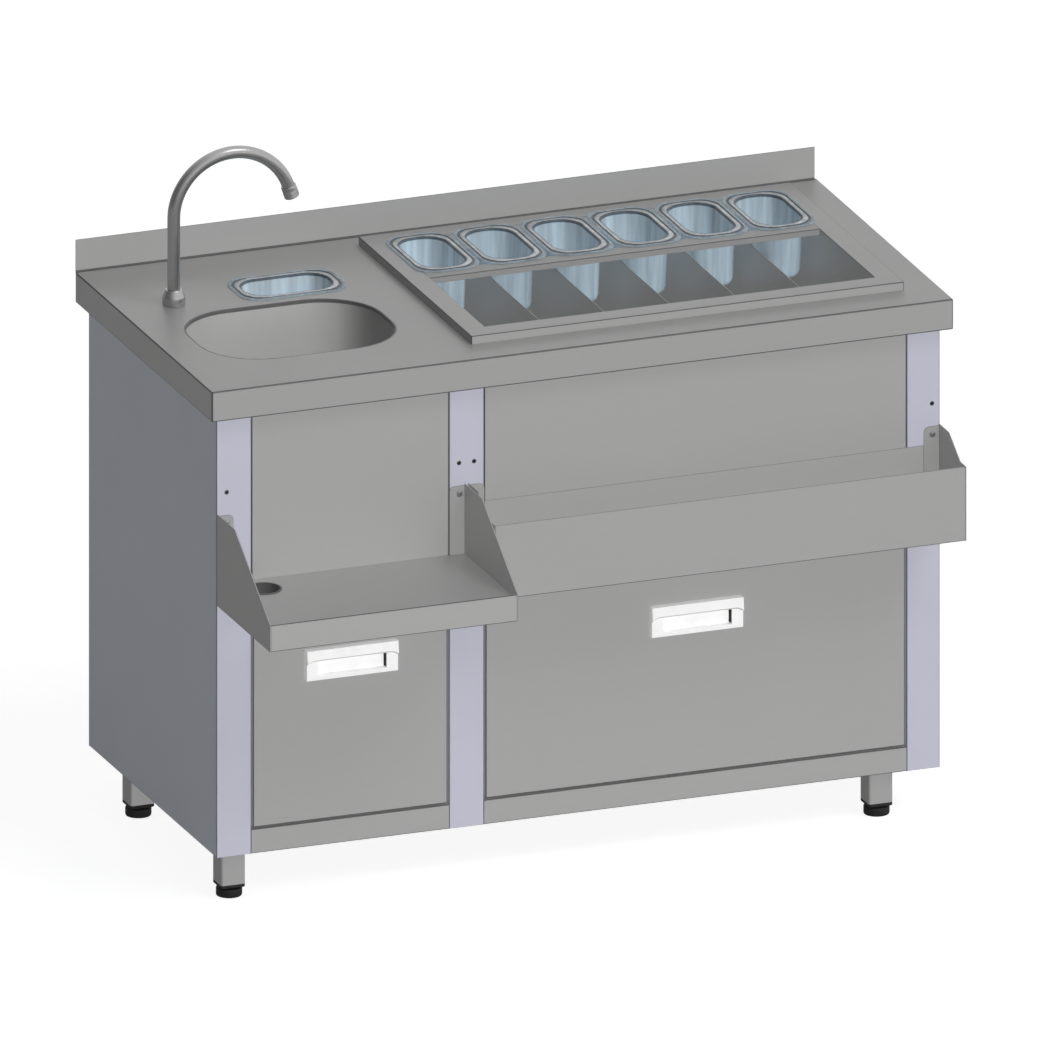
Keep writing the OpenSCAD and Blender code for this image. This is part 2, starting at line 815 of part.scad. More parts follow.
module partition() {
    color(sheet_grey) place()
        block([middle_x - panel_t / 2, cab_front + panel_t, floor_top],
              [middle_x + panel_t / 2, inner_back, board_z]);
}

// Post: a channel with its sides folded back, and a welded nut behind each hole
module post(x1, x2, holes_x) {
    difference() {
        union() {
            difference() {
                block([x1, cab_front, base_z], [x2, cab_front + post_d, board_z]);
                block([x1 + panel_t, cab_front + panel_t, base_z - over],
                      [x2 - panel_t, cab_front + post_d + over, board_z + over]);
            }
            for (x = holes_x) for (z = hole_rows)
                along_y(x, z, cab_front + panel_t / 2, cab_front + panel_t + nut_t, nut_r);
        }
        for (x = holes_x) for (z = hole_rows)
            along_y(x, z, cab_front - over, cab_front + panel_t + nut_t + over, hole_r);
    }
}

module left_post() {
    color(post_lilac) place() difference() {
        post(cab_left, cab_left + post_w, [left_hole_x]);
        block([cab_left - over, cab_front + panel_t, base_z - over],
              [cab_left + panel_t, cab_front + post_d + over, board_z + over]);
    }
}

module middle_post() {
    color(post_lilac) place() post(middle_post_x, middle_post_x + post_w, middle_holes_x);
}

module right_post() {
    color(post_lilac) place() difference() {
        post(cab_right - right_post_w, cab_right, [right_hole_x]);
        block([cab_right - panel_t, cab_front + panel_t, base_z - over],
              [cab_right + over, cab_front + post_d + over, board_z + over]);
    }
}

module left_fascia() {
    color(sheet_grey) place()
        folded_front(left_bay[0] + seam, left_bay[1] - seam, fascia_z, board_z, drawer_front_t, panel_t);
}

module right_fascia() {
    color(sheet_grey) place()
        folded_front(right_bay[0] + seam, right_bay[1] - seam, fascia_z, board_z, drawer_front_t, panel_t);
}

module base_rail(bay) {
    fold = leg_front - leg_w / 2 - 2 * panel_t;
    difference() {
        block([bay[0], cab_front, base_z], [bay[1], cab_front + fold, base_z + base_rail_h]);
        block([bay[0] - over, cab_front + panel_t, base_z + panel_t],
              [bay[1] + over, cab_front + fold + over, base_z + base_rail_h - panel_t]);
    }
}

module left_base_rail() {
    color(sheet_grey) place() base_rail(left_bay);
}

module right_base_rail() {
    color(sheet_grey) place() base_rail(right_bay);
}

// Legs: square tubes up to the cabinet's floor, closed at the top
leg_x = [cab_left + leg_left, cab_right - leg_right];
leg_y = [cab_front + leg_front, cab_back - leg_back];

module leg(x, y) {
    color(steel) place() translate([x, y, 0]) difference() {
        slab([-leg_w / 2, -leg_w / 2, foot_h], [leg_w / 2, leg_w / 2, floor_z], leg_r);
        slab([-leg_w / 2 + leg_wall, -leg_w / 2 + leg_wall, foot_h - over],
             [leg_w / 2 - leg_wall, leg_w / 2 - leg_wall, floor_z - 2 * leg_wall], leg_r - leg_wall);
    }
}

// Foot: a round pad, a square collar under the tube and a plug inside it
module foot() {
    pad_edge = 2;
    plug_w = leg_w - 2 * leg_wall - play;
    cylinder(r1 = foot_d / 2 - pad_edge, r2 = foot_d / 2, h = pad_edge);
    translate([0, 0, pad_edge]) cylinder(r = foot_d / 2, h = foot_h - collar_h - pad_edge);
    slab([-leg_w / 2, -leg_w / 2, foot_h - collar_h], [leg_w / 2, leg_w / 2, foot_h], leg_r);
    slab([-plug_w / 2, -plug_w / 2, foot_h], [plug_w / 2, plug_w / 2, foot_h + plug_l],
         leg_r - leg_wall);
}

module feet() {
    color(black_plastic) place() for (x = leg_x) for (y = leg_y) translate([x, y, 0]) foot();
}

// Shelf and bottle rail, each between two brackets that screw to the posts

module shelf() {
    low = [shelf_x[0] + bracket_t, cab_front - shelf_reach];
    high = [shelf_x[1] - bracket_t, bracket_front];
    between = [low[0] + bracket_flange + seam, high[0] - bracket_flange - seam];
    color(steel) place() difference() {
        union() {
            block([low[0], low[1], shelf_z - sheet_t], [high[0], high[1], shelf_z]);
            block([between[0], low[1], shelf_z - sheet_t], [between[1], cab_front, shelf_z]);
            block([between[0], cab_front - sheet_t, shelf_z - edge_return],
                  [between[1], cab_front, shelf_z]);
            block([low[0], low[1], shelf_low_z], [high[0], low[1] + sheet_t, shelf_top_z]);
            block([low[0], low[1], shelf_top_z - sheet_t],
                  [high[0], low[1] + 2 * sheet_t, shelf_top_z]);
            block([low[0], low[1], shelf_low_z],
                  [high[0], low[1] + edge_return, shelf_low_z + sheet_t]);
        }
        translate([shelf_x[0] + sleeve_x, cab_front - sleeve_y, shelf_z - sheet_t - over])
            cylinder(r = sleeve_d / 2 + sheet_t, h = sheet_t + 2 * over);
    }
}

module shelf_sleeve() {
    r = sleeve_d / 2;
    color(steel) place()
        translate([shelf_x[0] + sleeve_x, cab_front - sleeve_y, shelf_z]) difference() {
            union() {
                cylinder(r = r + 2 * sheet_t, h = sheet_t);
                translate([0, 0, sheet_t - sleeve_l]) cylinder(r = r + sheet_t, h = sleeve_l - sheet_t);
            }
            translate([0, 0, -sleeve_l]) cylinder(r = r, h = sleeve_l + sheet_t + over);
        }
}

// Flange of a bracket, flat on the post, with its free upper corner rounded off.
// side is 1 where the flange runs to the right of the plate and -1 to the left.
module bracket_fold(x, side, low_z, hole_x) {
    w = bracket_flange + bracket_t;
    top = bracket_top_z - bracket_t;
    corner = [for (i = [0:corner_steps])
        let (a = 90 * i / corner_steps)
        [side * (w - flange_corner + flange_corner * cos(a)), top - flange_corner + flange_corner * sin(a)]];
    difference() {
        translate([x, cab_front, 0]) rotate([90, 0, 0]) linear_extrude(bracket_t)
            polygon(concat([[0, low_z], [side * w, low_z]], corner, [[0, top]]));
        for (z = screw_rows) along_y(hole_x, z, cab_front - bracket_t - over, cab_front + over, hole_r);
    }
}

function shelf_side() = [
    [cab_front, shelf_low_z], [cab_front - shelf_reach, shelf_low_z],
    [cab_front - shelf_reach, shelf_top_z], [cab_front - bracket_top_w, bracket_top_z],
    [cab_front, bracket_top_z]];

function rail_side() = [
    [cab_front, rail_z], [cab_front - rail_reach, rail_z], [cab_front - rail_reach, rail_top_z],
    [cab_front - rail_reach + rail_step, rail_top_z],
    [cab_front - rail_slope_share * rail_reach, bracket_top_z], [cab_front, bracket_top_z]];

module shelf_left_bracket() {
    color(steel) place() {
        side_plate(shelf_x[0], bracket_t, shelf_side());
        bracket_fold(shelf_x[0], 1, shelf_low_z, left_hole_x);
    }
}

module shelf_right_bracket() {
    color(steel) place() {
        side_plate(shelf_x[1] - bracket_t, bracket_t, shelf_side());
        bracket_fold(shelf_x[1], -1, shelf_low_z, middle_holes_x[0]);
    }
}

module bottle_rail() {
    x1 = rail_x[0] + bracket_t;
    x2 = rail_x[1] - bracket_t;
    front = cab_front - rail_reach;
    color(steel) place() {
        block([x1, front, rail_z], [x2, bracket_front, rail_z + sheet_t]);
        block([x1, front, rail_z], [x2, front + sheet_t, rail_top_z]);
        block([x1 + bracket_flange + seam, cab_front - sheet_t, rail_z],
              [x2 - bracket_flange - seam, cab_front, rail_top_z]);
        block([x1 + bracket_flange + seam, front, rail_z],
              [x2 - bracket_flange - seam, cab_front, rail_z + sheet_t]);
    }
}

module rail_left_bracket() {
    color(steel) place() {
        side_plate(rail_x[0], bracket_t, rail_side());
        bracket_fold(rail_x[0], 1, rail_z, middle_holes_x[1]);
    }
}

module rail_right_bracket() {
    color(steel) place() {
        side_plate(rail_x[1] - bracket_t, bracket_t, rail_side());
        bracket_fold(rail_x[1], -1, rail_z, right_hole_x);
    }
}

// Button-head screws through the brackets' flanges into the posts' nuts
module bracket_screws() {
    color(zinc) place()
        for (x = [left_hole_x, middle_holes_x[0], middle_holes_x[1], right_hole_x])
            for (z = screw_rows) {
                along_y(x, z, bracket_front - screw_head_h, bracket_front, screw_head_r);
                along_y(x, z, bracket_front - over, bracket_front + screw_l, screw_r);
            }
}

// Drawers: slides, boxes, fronts and handles

// Channel of a slide against the post at x, open towards the drawer
module channel(x, side) {
    depth = slide_t - slide_gap;
    a = side > 0 ? x : x - depth;
    hollow = side > 0 ? x + slide_wall : x - depth - over;
    difference() {
        block([a, channel_y, slide_z], [a + depth, inner_back, slide_z + slide_h]);
        block([hollow, channel_y - over, slide_z + slide_wall],
              [hollow + depth - slide_wall + over, inner_back + over, slide_z + slide_h - slide_wall]);
    }
}

// Runner in the channel: its web is on the drawer box, its edges run in the channel
module runner(x, side) {
    reach = slide_t - 2 * slide_wall;
    low = slide_z + slide_wall + play;
    high = slide_z + slide_h - slide_wall - play;
    web = x + side * (slide_t - slide_wall);
    tip = x + side * (slide_t - reach);
    y2 = cab_front + panel_t + box_d;
    block([min(web, x + side * slide_t), channel_y, low], [max(web, x + side * slide_t), y2, high]);
    for (z = [low, high - slide_wall])
        block([min(tip, web), channel_y, z], [max(tip, web), y2, z + slide_wall]);
}

module drawer_channels() {
    color(zinc) place() for (bay = [left_bay, right_bay]) {
        channel(bay[0], 1);
        channel(bay[1], -1);
    }
}

module drawer_runners(bay) {
    color(zinc) place() {
        runner(bay[0], 1);
        runner(bay[1], -1);
    }
}

module drawer_box(bay) {
    low = [bay[0] + slide_t, cab_front + panel_t, box_z];
    high = [bay[1] - slide_t, cab_front + panel_t + box_d, box_z + box_h];
    color(sheet_grey) place() difference() {
        block(low, high);
        block(low + [box_t, box_t, box_t], high + [-box_t, -box_t, over]);
    }
}

module drawer_front(bay) {
    color(sheet_grey) place()
        folded_front(bay[0] + drawer_gap, bay[1] - drawer_gap, drawer_bottom_z, drawer_top_z,
                     drawer_front_t, panel_t);
}

// Hooded cup pull: the hood overhangs a recess for the fingers
module drawer_handle(bay) {
    x1 = (bay[0] + bay[1] - handle_w) / 2;
    z1 = drawer_top_z - handle_drop - handle_h;
    hood_z = handle_foot + handle_mouth_h;
    front = cab_front - handle_proud;
    color(white_plastic) place() translate([x1, 0, z1]) difference() {
        side_plate(0, handle_w, [
            [cab_front, 0], [front + handle_setback, 0], [front + handle_setback, hood_z],
            [front, hood_z + handle_setback], [front, handle_h], [cab_front, handle_h]]);
        block([handle_side, front - over, handle_foot],
              [handle_w - handle_side, cab_front - handle_wall, hood_z]);
    }
}

module left_drawer_front() { drawer_front(left_bay); }
module left_drawer_box() { drawer_box(left_bay); }
module left_drawer_runners() { drawer_runners(left_bay); }
module left_drawer_handle() { drawer_handle(left_bay); }
module right_drawer_front() { drawer_front(right_bay); }
module right_drawer_box() { drawer_box(right_bay); }
module right_drawer_runners() { drawer_runners(right_bay); }
module right_drawer_handle() { drawer_handle(right_bay); }

worktop();
backing_board();
sink_bowl();
sink_waste();
bottle_trap();
waste_pipe();
faucet_base();
faucet_backnut();
supply_pipe();
spout();
aerator();
well_frame();
well_bar();
well_liner();
well_insulation();
well_casing();
well_floor_grid();
well_dividers();
well_drain();
well_pan(1);  // well_pan_1
well_pan(2);  // well_pan_2
well_pan(3);  // well_pan_3
well_pan(4);  // well_pan_4
well_pan(5);  // well_pan_5
well_pan(6);  // well_pan_6
garnish_pan();
left_side_panel();
right_side_panel();
back_panel();
bottom_panel();
partition();
left_post();
middle_post();
right_post();
left_fascia();
right_fascia();
left_base_rail();
right_base_rail();
leg(leg_x[0], leg_y[0]);  // leg_front_left
leg(leg_x[1], leg_y[0]);  // leg_front_right
leg(leg_x[0], leg_y[1]);  // leg_back_left
leg(leg_x[1], leg_y[1]);  // leg_back_right
feet();
shelf();
shelf_left_bracket();
shelf_right_bracket();
shelf_sleeve();
bottle_rail();
rail_left_bracket();
rail_right_bracket();
bracket_screws();
drawer_channels();
left_drawer_front();
left_drawer_box();
left_drawer_runners();
left_drawer_handle();
right_drawer_front();
right_drawer_box();
right_drawer_runners();
right_drawer_handle();
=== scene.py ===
# %% [markdown]
# # A bar station in folded stainless steel
# This notebook dresses the solids of a bar station: a cabinet on four legs with
# a sink, a swivel spout, a cold well with small pans, two drawers, a shelf and a
# bottle rail. The solids give every size. Each step below either finishes a solid
# with a material or puts a finer mesh in its place, such as a pan with a beaded rim.

# %% Load the solids
import json
import math

import bmesh
import bpy
from mathutils import Matrix, Vector

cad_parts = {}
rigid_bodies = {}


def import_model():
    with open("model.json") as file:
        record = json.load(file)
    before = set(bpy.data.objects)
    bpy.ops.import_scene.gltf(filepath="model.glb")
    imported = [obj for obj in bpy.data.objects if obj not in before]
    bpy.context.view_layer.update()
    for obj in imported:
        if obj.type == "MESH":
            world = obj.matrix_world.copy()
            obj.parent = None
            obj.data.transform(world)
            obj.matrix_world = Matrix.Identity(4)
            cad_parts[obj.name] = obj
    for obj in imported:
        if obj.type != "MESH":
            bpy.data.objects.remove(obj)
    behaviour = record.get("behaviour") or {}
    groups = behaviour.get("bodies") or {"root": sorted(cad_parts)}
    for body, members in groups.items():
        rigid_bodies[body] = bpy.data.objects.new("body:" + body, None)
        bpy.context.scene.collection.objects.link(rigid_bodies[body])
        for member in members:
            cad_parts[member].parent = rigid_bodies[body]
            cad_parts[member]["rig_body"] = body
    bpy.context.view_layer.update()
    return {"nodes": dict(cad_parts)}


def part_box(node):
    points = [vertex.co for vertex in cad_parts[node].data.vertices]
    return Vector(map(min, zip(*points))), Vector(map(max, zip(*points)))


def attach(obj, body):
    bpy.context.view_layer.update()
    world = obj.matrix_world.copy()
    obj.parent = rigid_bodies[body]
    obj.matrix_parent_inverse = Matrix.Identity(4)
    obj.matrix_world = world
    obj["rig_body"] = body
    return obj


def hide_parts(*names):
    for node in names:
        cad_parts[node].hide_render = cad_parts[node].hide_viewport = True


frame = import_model()
nodes = frame["nodes"]
MM = 0.001

# %% [markdown]
# ## Places
# The drawing of the station measures from the worktop's front left corner, in
# millimetres. The model's origin is in the middle of the floor. One small function
# turns a place on the drawing into a place in the scene, so that every step can
# use the drawing's round numbers.

# %% From the drawing to the scene
worktop_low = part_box("worktop")[0]


def at(x, y, z):
    """A place on the drawing, in millimetres, as a point of the scene."""
    return Vector((worktop_low.x + x * MM, worktop_low.y + y * MM, z * MM))


def drawn(point):
    """A point of the scene as a place on the drawing, in millimetres."""
    return Vector(((point.x - worktop_low.x) / MM, (point.y - worktop_low.y) / MM,
                   point.z / MM))


def box_mm(node):
    """The lowest and highest corners of a solid on the drawing."""
    low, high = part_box(node)
    return drawn(low), drawn(high)


print("worktop, mm:", [round(v, 1) for v in box_mm("worktop")[1]])

# %% [markdown]
# ## The camera
# The picture is a parallel projection: edges that are parallel on the station are
# parallel in the picture. Blender's orthographic camera does that. It looks from
# the front left and from above, and its scale says how many metres the frame spans.

# %% Parallel camera
AZIMUTH, ELEVATION = math.radians(-20.705), math.radians(19.4712)
FRAME_WIDTH = 1.6137
PICTURE_MIDDLE = at(518.6, 20, 568.6)
CAMERA_AWAY, NEAREST, FARTHEST = 5, 0.1, 20
back = Vector((math.sin(AZIMUTH) * math.cos(ELEVATION),
               -math.cos(AZIMUTH) * math.cos(ELEVATION), math.sin(ELEVATION)))
camera = bpy.data.objects.new("camera", bpy.data.cameras.new("camera"))
bpy.context.scene.collection.objects.link(camera)
camera.data.type = "ORTHO"
camera.data.ortho_scale = FRAME_WIDTH
camera.data.clip_start, camera.data.clip_end = NEAREST, FARTHEST
camera.location = PICTURE_MIDDLE + back * CAMERA_AWAY
camera.rotation_euler = (-back).to_track_quat("-Z", "Y").to_euler()
bpy.context.scene.camera = camera
print("camera at", [round(v, 3) for v in camera.location])

# %% [markdown]
# ## Writing node graphs as sums
# A shader, the world and a Geometry Nodes tree are all graphs of nodes. Wiring them
# by hand hides the idea, so one small class wraps a socket and lets Python's + - *
# build the Math nodes, and another makes any other node from its kind, its inputs
# and its settings.


# %% A socket that can be added and multiplied
SOFT_EDGE = 0.0006


class Value:
    """The output of a node, such as a number that varies over a surface."""

    def __init__(self, graph, socket):
        self.graph, self.socket = graph, socket

    def maths(self, operation, *values):
        return self.graph.node("Math", dict(enumerate(values)), operation=operation)

    def __add__(self, other):
        return self.maths("ADD", self, other)

    def __sub__(self, other):
        return self.maths("SUBTRACT", self, other)

    def __mul__(self, other):
        return self.maths("MULTIPLY", self, other)

    def __rsub__(self, other):
        return self.maths("SUBTRACT", other, self)

    def __lt__(self, other):
        return self.maths("LESS_THAN", self, other)

    def __abs__(self):
        return self.maths("ABSOLUTE", self)

    def at_least(self, other):
        return self.maths("MAXIMUM", self, other)


class Graph:
    """A graph that is built node by node."""

    def __init__(self, tree):
        self.tree = tree

    def node(self, kind, inputs=None, output=0, **settings):
        made = self.tree.nodes.new(kind if "Node" in kind else "ShaderNode" + kind)
        for key, value in settings.items():
            setattr(made, key, value)
        for key, value in (inputs or {}).items():
            self.join(value, made.inputs[key])
        return Value(self, made.outputs[output])

    def join(self, value, socket):
        if isinstance(value, Value):
            self.tree.links.new(value.socket, socket)
        else:
            socket.default_value = value


class Shader(Graph):
    """A material, round a Principled BSDF."""

    def __init__(self, name):
        self.material = bpy.data.materials.new(name)
        self.material.use_nodes = True
        super().__init__(self.material.node_tree)
        self.surface = self.tree.nodes["Principled BSDF"]

    def set(self, **inputs):
        for key, value in inputs.items():
            self.join(value, self.surface.inputs[key.replace("_", " ")])

    def spot(self, axis):
        """An object coordinate along an axis, in metres."""
        return self.node("SeparateXYZ", {0: self.node("TexCoord", output="Object")}, axis)

    def noise(self, scale, detail, stretch=(1, 1, 1), rough=0.5):
        """Noise in object coordinates, drawn out along an axis whose stretch is small."""
        place = self.node("Mapping", {
            "Vector": self.node("TexCoord", output="Object"), "Scale": stretch})
        return self.node("TexNoise", {
            "Vector": place, "Scale": scale, "Detail": detail, "Roughness": rough})

    def mix(self, one, other, factor):
        """A colour between two others, each a colour or the output of another mix."""
        one, other = (c if isinstance(c, Value) else (*c, 1) for c in (one, other))
        return self.node("Mix", {"Factor": factor, 6: one, 7: other}, 2, data_type="RGBA")

    def vary(self, colour, amount, factor):
        """A colour that gets darker and lighter by an amount."""
        return self.mix(shade(colour, 1 - amount), shade(colour, 1 + amount), factor)

    def band(self, axis, limits, soft=SOFT_EDGE):
        """1 between two planes across an axis of the drawing, 0 outside.

        The limits are in millimetres, and the soft edge is in metres."""
        low, high = (at(limit, limit, limit)[axis] for limit in limits)
        spot = self.spot(axis)
        over, under = (spot - low) * (1 / soft), (high - spot) * (1 / soft)
        return self.node("Clamp", {0: over}) * self.node("Clamp", {0: under})

    def bump(self, height, strength, distance):
        return self.node("Bump", {"Height": height, "Strength": strength, "Distance": distance})


def shade(colour, amount):
    """A colour made lighter or darker."""
    return tuple(min(1, c * amount) for c in colour)


# %% [markdown]
# ## Stainless steel with a brushed grain
# The sheet is brushed before it is folded, so the grain is a set of fine lines in
# one direction. Noise that is stretched along the grain draws them: the lines
# change the brightness and the roughness a little, and a slight bump breaks up the
# reflections. A second, large and faint noise stands for handling.

# %% Brushed steel
STEEL = (0.400, 0.400, 0.397)
STEEL_METALLIC, STEEL_ROUGH = 0.3, 0.42
GRAIN_SCALE, FINE_SCALE, CLOUD_SCALE, GRAIN_LENGTH = 900, 150, 5, 40
LINE_SHARE, FINE_SHARE, CLOUD_SHARE = 0.45, 0.35, 0.2
CONTRAST, WIDEST = 0.05, 0.4
LINE_ROUGH, CLOUD_ROUGH = 0.10, 0.12
LINE_HEIGHT, FINE_HEIGHT, GRAIN_BUMP, GRAIN_DEPTH = 0.6, 0.4, 0.12, 0.0002
SHADOW_STEEL = 0.25


def brushed(name, colour, along, dark=None):
    """Brushed steel whose grain runs along axis 0, 1 or 2.

    dark(steel) says, from 0 to 1, where the steel is as dark as in a shadow."""
    steel = Shader(name)
    stretch = [1, 1, 1]
    stretch[along] = 1 / GRAIN_LENGTH
    lines = steel.noise(GRAIN_SCALE, 3, stretch, 0.6)
    fine = steel.noise(FINE_SCALE, 4, stretch, 0.55)
    cloud = steel.noise(CLOUD_SCALE, 3)
    level = lines * LINE_SHARE + fine * FINE_SHARE + cloud * CLOUD_SHARE
    finish = steel.vary(colour, WIDEST, (level - 0.5) * 2 * CONTRAST + 0.5)
    if dark:
        finish = steel.mix(finish, shade(colour, SHADOW_STEEL), dark(steel))
    middle_rough = STEEL_ROUGH - (LINE_ROUGH + CLOUD_ROUGH) / 2
    steel.set(Base_Color=finish, Metallic=STEEL_METALLIC,
              Roughness=lines * LINE_ROUGH + cloud * CLOUD_ROUGH + middle_rough,
              Normal=steel.bump(lines * LINE_HEIGHT + fine * FINE_HEIGHT, GRAIN_BUMP,
                                GRAIN_DEPTH))
    return steel.material


top_steel = brushed("brushed_top", STEEL, 0)
# Painted light and shade: the front and shelf steels are lighter copies of one steel and the bar
# steel a darker one.
front_steel_lit = brushed("brushed_front", shade(STEEL, 1.07), 0)
shelf_steel_lit = brushed("brushed_shelf", shade(STEEL, 1.13), 0)
bar_steel_shaded = brushed("brushed_bar", shade(STEEL, 0.85), 0)
fold_steel = brushed("brushed_fold", shade(STEEL, 0.28), 0)
upright_steel = brushed("brushed_upright", STEEL, 2)
depth_steel = brushed("brushed_depth", STEEL, 1)

# %% [markdown]
# The picture draws a dark line where two sheets meet. Three pieces have such a line
# painted inside one sheet, as painted shade: the crease at the upstand's foot and the
# sink's edge on the worktop, the bowl's rim under the sheet's edge and its shaded side,
# and the left side of the well's frame. Bands between planes of the drawing mark them,
# and a rounded rectangle marks the sink.

# %% Steel with painted shade lines
UPSTAND_BEND_Y, UPSTAND_BEND_Z = (594.5, 600.5), (849, 853)
BOWL_FLANGE, BOWL_CORNER = 10, 96
SINK_EDGE, SINK_EDGE_Z, SINK_EDGE_DARK = 2.4, (848, 851), 0.8
BOWL_RIM_Z = (843.5, 850.5)
BOWL_SHADE_X, BOWL_SHADE_SOFT, BOWL_SHADE_DARK = (335, 600), 0.05, 0.85
FRAME_SIDE_X, FRAME_SIDE_Z, FRAME_SIDE_DARK = (453, 456.2), (849, 863.4), 0.6


def worktop_painted_shade(steel):
    """Painted shade in the bend at the upstand's foot, and on the sink's rounded edge."""
    bend = steel.band(1, UPSTAND_BEND_Y) * steel.band(2, UPSTAND_BEND_Z)
    low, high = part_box("sink_bowl")
    squares = []
    for axis in (0, 1):
        reach = (high[axis] - low[axis]) / 2 - (BOWL_FLANGE + BOWL_CORNER) * MM
        past = (abs(steel.spot(axis) - (low[axis] + high[axis]) / 2) - reach).at_least(0.0)
        squares.append(past * past)
    distance = squares[0].maths("SQRT", squares[0] + squares[1])
    edge = (distance < (BOWL_CORNER + SINK_EDGE) * MM) * steel.band(2, SINK_EDGE_Z)
    return bend.at_least(edge * SINK_EDGE_DARK)


def bowl_shadow(steel):
    """Painted shade on the bowl's upper rim, under the sheet's edge, and on its wall on the shaded
    side.
    """
    wall = steel.band(0, BOWL_SHADE_X, BOWL_SHADE_SOFT)
    return steel.band(2, BOWL_RIM_Z).at_least(wall * BOWL_SHADE_DARK)


def frame_side_shade(steel):
    """Painted shade on the left side of the well's frame."""
    return steel.band(0, FRAME_SIDE_X) * steel.band(2, FRAME_SIDE_Z) * FRAME_SIDE_DARK


worktop_steel = brushed("brushed_worktop", STEEL, 0, worktop_painted_shade)
frame_steel = brushed("brushed_frame", STEEL, 0, frame_side_shade)
# The bowl's steel is a lighter copy of the same steel, painted light, and it carries painted
# shade.
bowl_steel_lit_shaded = brushed("brushed_bowl", shade(STEEL, 1.05), 0, bowl_shadow)
print("steel finishes:", sum("brushed" in m.name for m in bpy.data.materials))

# %% [markdown]
# ## Painted and moulded finishes
# The posts are painted a pale lilac and the sides a cool grey. Sprayed powder paint
# has a slight orange-peel skin. The pans are clear tinted plastic, the handles
# white and glossy, the feet black and matt.


# %% Paint and plastics
POST = (0.480, 0.478, 0.562)
PAINT_ROUGH, PAINT_BUMP, PAINT_DEPTH = 0.45, 0.08, 0.0003
PEEL_SCALE, PATCH_SCALE, PAINT_VARIES, PAINT_ROUGH_VARIES = 900, 8, 0.04, 0.08
SHADOW_PAINT = 0.12
FLOW_SCALE, PLASTIC_VARIES, PLASTIC_ROUGH_VARIES, PLASTIC_DEPTH = 30, 0.05, 0.1, 0.0002
CAST_SCALE, CAST_VARIES, CAST_ROUGH_VARIES = 400, 0.08, 0.12
HOLE_X = (32, 417.5, 442.5, 1202)
# The spare holes in the posts get discs of painted shade, a little wider than the holes.
SPARE_HOLE_Z, SPARE_HOLE_SHADE_RADIUS = 675, 3.7


def painted(name, colour, dark=None):
    """Powder paint. dark(paint) says where it is as dark as in a hole."""
    paint = Shader(name)
    peel, patch = paint.noise(PEEL_SCALE, 2), paint.noise(PATCH_SCALE, 3)
    finish = paint.vary(colour, PAINT_VARIES, patch)
    if dark:
        finish = paint.mix(finish, shade(colour, SHADOW_PAINT), dark(paint))
    varied = (peel + patch - 1) * PAINT_ROUGH_VARIES
    paint.set(Base_Color=finish, Roughness=varied + PAINT_ROUGH,
              Normal=paint.bump(peel, PAINT_BUMP, PAINT_DEPTH))
    return paint.material


def moulded(name, colour, rough, grain=1400, skin=0.06):
    """Moulded plastic, whose grain and depth of skin can be set."""
    plastic = Shader(name)
    texture, flow = plastic.noise(grain, 3), plastic.noise(FLOW_SCALE, 2)
    varied = (texture + flow - 1) * PLASTIC_ROUGH_VARIES
    plastic.set(Base_Color=plastic.vary(colour, PLASTIC_VARIES, flow), Roughness=varied + rough,
                Normal=plastic.bump(texture, skin, PLASTIC_DEPTH))
    return plastic.material


def plain_metal(name, colour, rough, metallic=0.85):
    """Cast, turned or plated metal, without a grain."""
    metal = Shader(name)
    cast = metal.noise(CAST_SCALE, 3)
    metal.set(Base_Color=metal.vary(colour, CAST_VARIES, cast), Metallic=metallic,
              Roughness=(cast - 0.5) * CAST_ROUGH_VARIES + rough)
    return metal.material


def spare_hole_shade(paint):
    """Painted shade in the posts' spare holes, in discs a little wider than the holes."""
    across, up = paint.spot(0), paint.spot(2) - SPARE_HOLE_Z * MM
    found = 0.0
    for place in HOLE_X:
        beside = across - at(place, 0, 0).x
        found = (beside * beside + up * up < (SPARE_HOLE_SHADE_RADIUS * MM) ** 2) + found
    return found


post_paint = painted("post_paint", POST, spare_hole_shade)
fold_paint = painted("fold_paint", shade(POST, 0.3))
side_fold_paint = painted("side_fold_paint", (0.12, 0.13, 0.15))
side_paint = painted("side_paint", (0.450, 0.475, 0.525))
white_plastic = moulded("white_handle", (0.97, 0.97, 0.965), 0.28)
pipe_plastic = moulded("pipe_plastic", (0.72, 0.72, 0.70), 0.45)
black_plastic = moulded("black_foot", (0.010, 0.010, 0.010), 0.55, 900, 0.2)
tap_metal = plain_metal("tap_metal", (0.50, 0.50, 0.50), 0.22, 0.95)
zinc = plain_metal("zinc_plate", (0.42, 0.42, 0.43), 0.4)
brass = plain_metal("brass_nut", (0.55, 0.42, 0.18), 0.35)
board = moulded("board", (0.35, 0.24, 0.13), 0.7, 300, 0.3)
foam = moulded("foam", (0.70, 0.62, 0.36), 0.8, 200, 0.4)

# %% [markdown]
# The pans let light through. A plastic that is both tinted and partly see-through
# keeps its colour when the model is exported, which a glass shader does not. Upright
# streaks stand for what is seen through the walls. The lines round the rim's bead
# are darker, and its top has a painted highlight, a lighter colour.

# %% Clear blue plastic
CLEAR_ROUGH, CLEAR_VARIES, CLEAR_FLOW_SCALE = 0.12, 0.08, 25
STREAK_SCALE, STREAK_STRETCH, STREAK_DARK, STREAK_LIGHT = 70, (1, 1, 0.04), 0.3, 1.5


